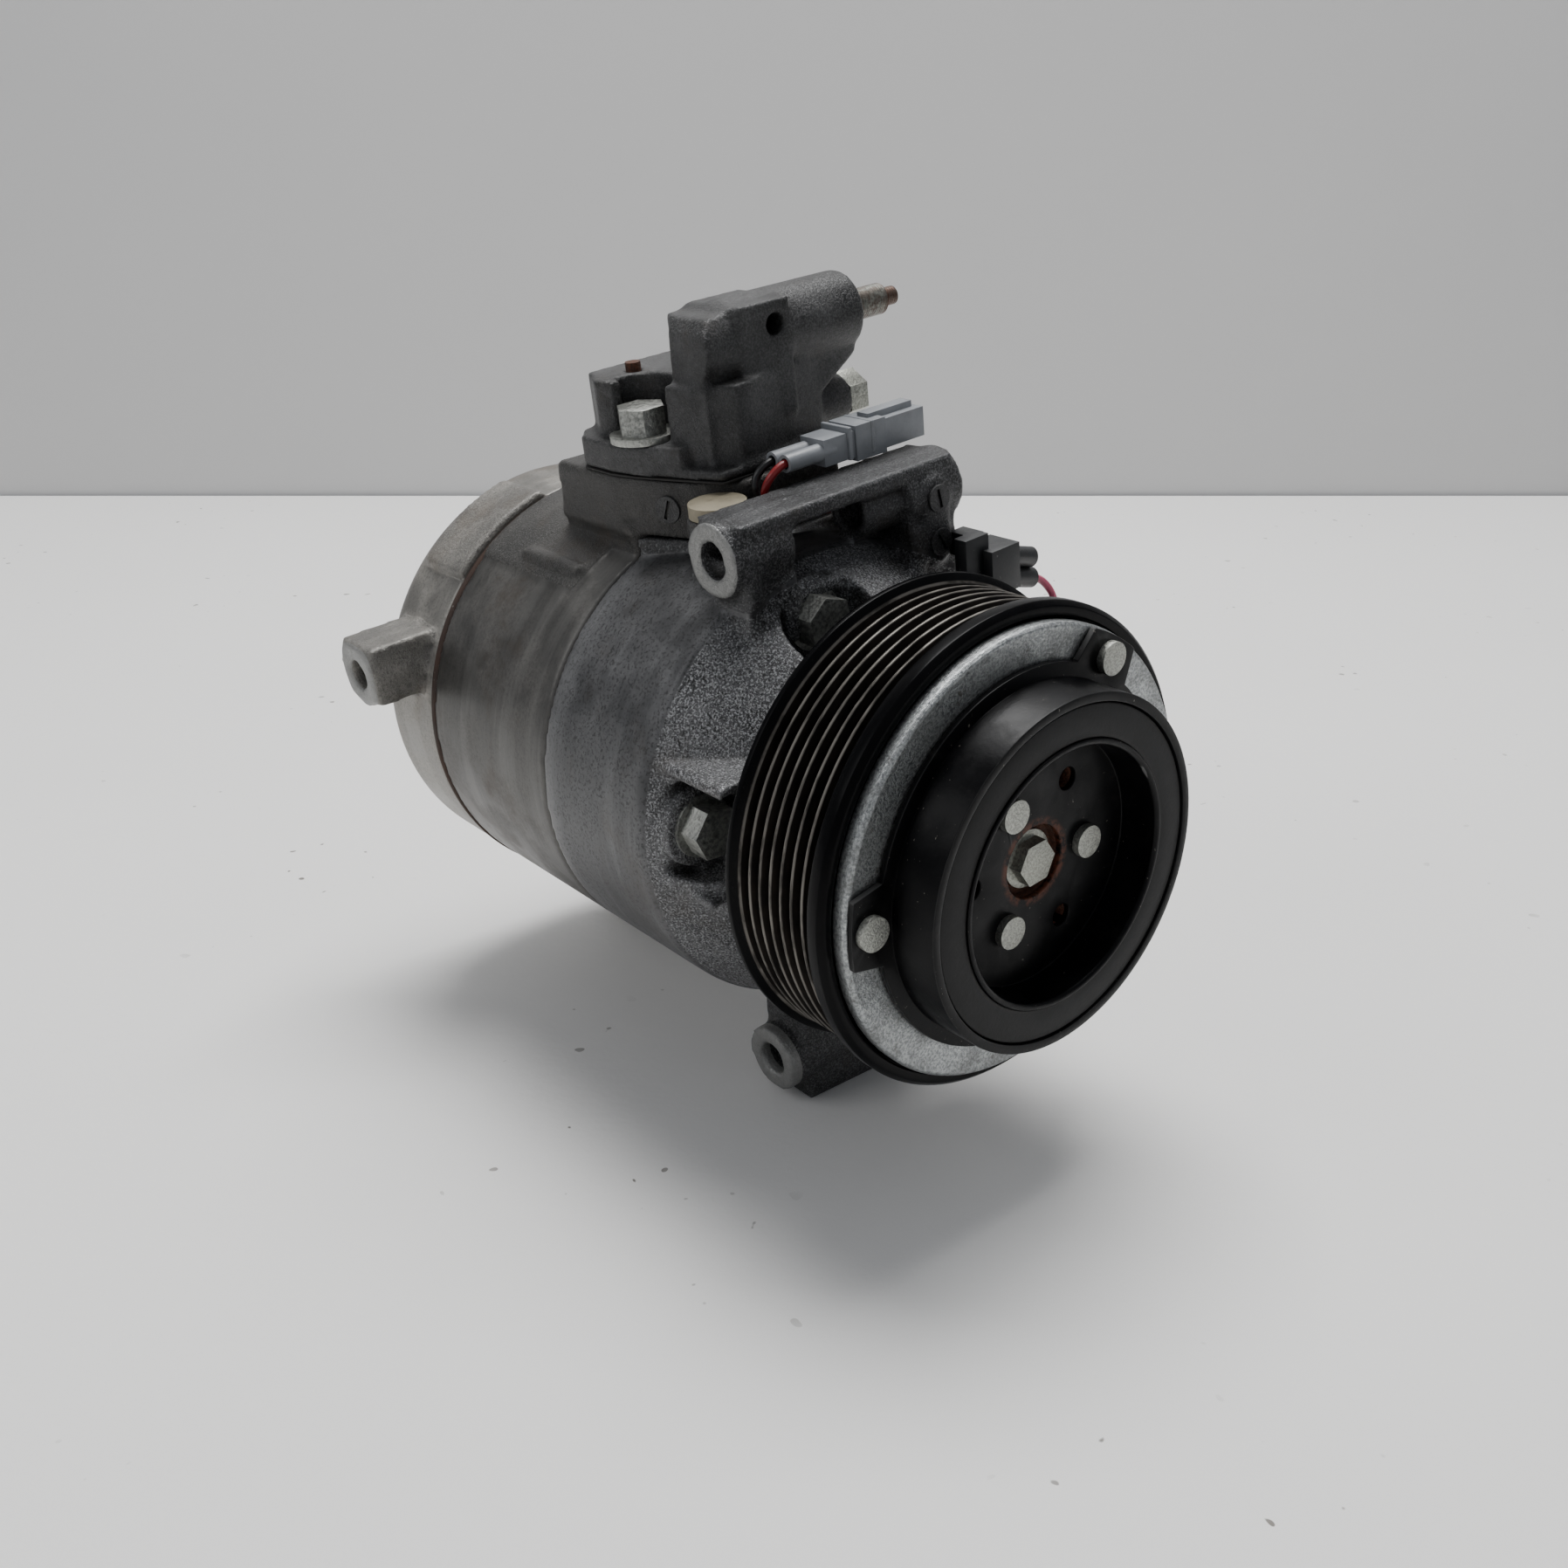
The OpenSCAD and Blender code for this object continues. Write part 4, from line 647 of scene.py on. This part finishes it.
# ---- Lug plate, swash plate and pistons ----
# Machined iron on the shaft, ground half-ball shoes, and turned aluminium pistons in their bores.
# They move inside the closed body, so each is plain machined work with broken edges.
iron = plain_metal("machined_iron", "#56585a", "#707274", 0.4, 0.95, "#3a3b3c", 0.3, 1.2)
refined(["lug_plate"], "lug_disc", iron, "drive_shaft", 0.4)
refined(["link_arm"], "link_arm_and_pin", iron, "drive_shaft", 0.3)
refined(["tilt_sleeve"], "tilting_sleeve", iron, "swash_tilter", 0.3)
refined(["swash_plate"], "swash_ring", iron, "swash", 0.4)
piston_alloy = plain_metal("turned_piston_alloy", "#a9abad", "#c3c5c7", 0.32, 1.0, "#8b8d8f", 0.2, 0.8, 0.02)
for number in range(1, 6):
    refined(["piston_%d" % number], "turned_piston_%d" % number, piston_alloy, "piston_body_%d" % number,
            0.3)

# ---- Service manifold ----
# A stained aluminium casting clamped on the pad: foot, bolt ledge, hollowed side, neck and horn.
# A seam of the mould runs down it, and the horn's flat face holds a small threaded hole.
manifold_extras = [
    block_shape((-9.5, 59.6, 80), (-7.4, 61.6, 98.6)),
    block_shape((-2.6, 56, 80), (0.4, 59, 99)),
    block_shape((-17.4, 88, 85), (-14, 93, 99.2)),
    round_shape(5.4, 1.6, (40.6, 70, 84.5), sideways),
    round_shape(9.3, 1.0, (42.0, 68, 107), sideways),
]
manifold_alloy = cast_alloy("cast_manifold_alloy", "#323232", "#515151", "#969696", "#362f29",
                            stain_share=0.7, pit_and_glint_share=0.35)
casting("manifold_casting", "manifold_block", manifold_extras, manifold_alloy, "housing",
        0.6, passes=16, keep=0.5)

# ---- Manifold fasteners ----
# A flanged hexagon bolt, a plated relief valve, a threaded stud and a short rusty pin.
# The stud carries a fine thread; its reduced tip has rusted.
refined(["manifold_bolt"], "manifold_bolt_head", bolt_zinc, "housing", 0.6, 3)
refined(["relief_valve"], "relief_valve_hex", bright_zinc, "housing", 0.6, 3)
refined(["locating_pin"], "rusty_pin", rusty, "housing", 0.4, 3)
stud_steel, tree, shader, place = new_finish("rust_tipped_stud_steel")
thread_pitch = 0.8 * mm
thread_depth = 0.1
stud_along = add_node(tree, "ShaderNodeSeparateXYZ", {}, {0: place}).outputs[0]
tip = fade(tree, stud_along, 0.0495, 0.0505)
thread = combine(tree, "SINE", times(tree, stud_along, 2 * math.pi / thread_pitch), 0)
skin = blend_tones(tree, fade(tree, noise(tree, place, 0.8, 3, 0.6), 0.35, 0.65), "#5f5f5a", "#8b8b84")
stains = fade(tree, noise(tree, place, 2.2, 4, 0.7), 0.4, 0.6)
skin = blend_tones(tree, times(tree, stains, 0.5), skin, "#4e3528")
tree.links.new(blend_tones(tree, times(tree, tip, 0.7), skin, "#4d3022"), shader.inputs["Base Color"])
shader.inputs["Metallic"].default_value = 0.8
shader.inputs["Roughness"].default_value = 0.45
tree.links.new(bump(tree, thread, thread_depth), shader.inputs["Normal"])
refined(["pipe_stud"], "pipe_clamp_stud", stud_steel, "housing", 0.5, 3)

# ---- Filler plug and speed sensor ----
# A tan moulded cap, grimy, on the plug beside the manifold, and the sensor's pale head.
# Both are moulded with rounded rims and pushed into their bores in the front housing.
tan_cap = satin_coat("tan_moulded_cap", "#77705e", "#948b76", 0.6, "#4a4233", 0.6, 0.7, 0.1)
refined(["filler_plug"], "filler_plug_cap", tan_cap, "housing", 0.9, 4)
refined(["speed_sensor"], "speed_sensor_head", tan_cap, "housing", 0.9, 4)

# ---- Connectors ----
# A grey two-way connector on the sensor's leads and a black one on the coil's lead.
# Each has moulded ribs and a catch; their corners are rounded like injection mouldings.
grey_nylon = satin_coat("grey_nylon", "#74777b", "#898c90", 0.45, "#5a5853", 0.35, 0.7)
refined(["sensor_connector"], "grey_two_way_connector", grey_nylon, "housing", 1.1, 4)
rib_width = 1.2
for place_x in (18.5, 26.0):
    rib = block_shape((place_x, 40.8, 77.4), (place_x + rib_width, 51.2, 85.6), 0.35)
    finish_piece(rib, "grey_connector_rib_%d" % int(place_x), grey_nylon, "housing")
black_nylon = satin_coat("black_nylon", "#121315", "#1c1d1f", 0.45, "#33312e", 0.3, 0.7)
refined(["coil_connector"], "black_coil_connector", black_nylon, "housing", 0.6, 3)

# ---- Leads ----
# Insulated copper wires, about 2.2 mm thick: black and red to the sensor, pink to the coil.
# They keep the CAD's routes and are only made rounder.
for node_name, slot_name, dark, light in (("sensor_wire_black", "wire_black", "#0b0b0c", "#131314"),
                                          ("sensor_wire_red", "wire_red", "#7d1519", "#971f24"),
                                          ("coil_wire", "wire_pink", "#a84660", "#c05a74")):
    insulation = satin_coat(slot_name + "_insulation", dark, light, 0.38, "#2a2524", 0.2, 0.6)
    lead = refined([node_name], node_name + "_lead", insulation, "housing", 0)
    add_modifier(lead, "SUBSURF", levels=1, render_levels=1)
    bpy.ops.object.shade_smooth()
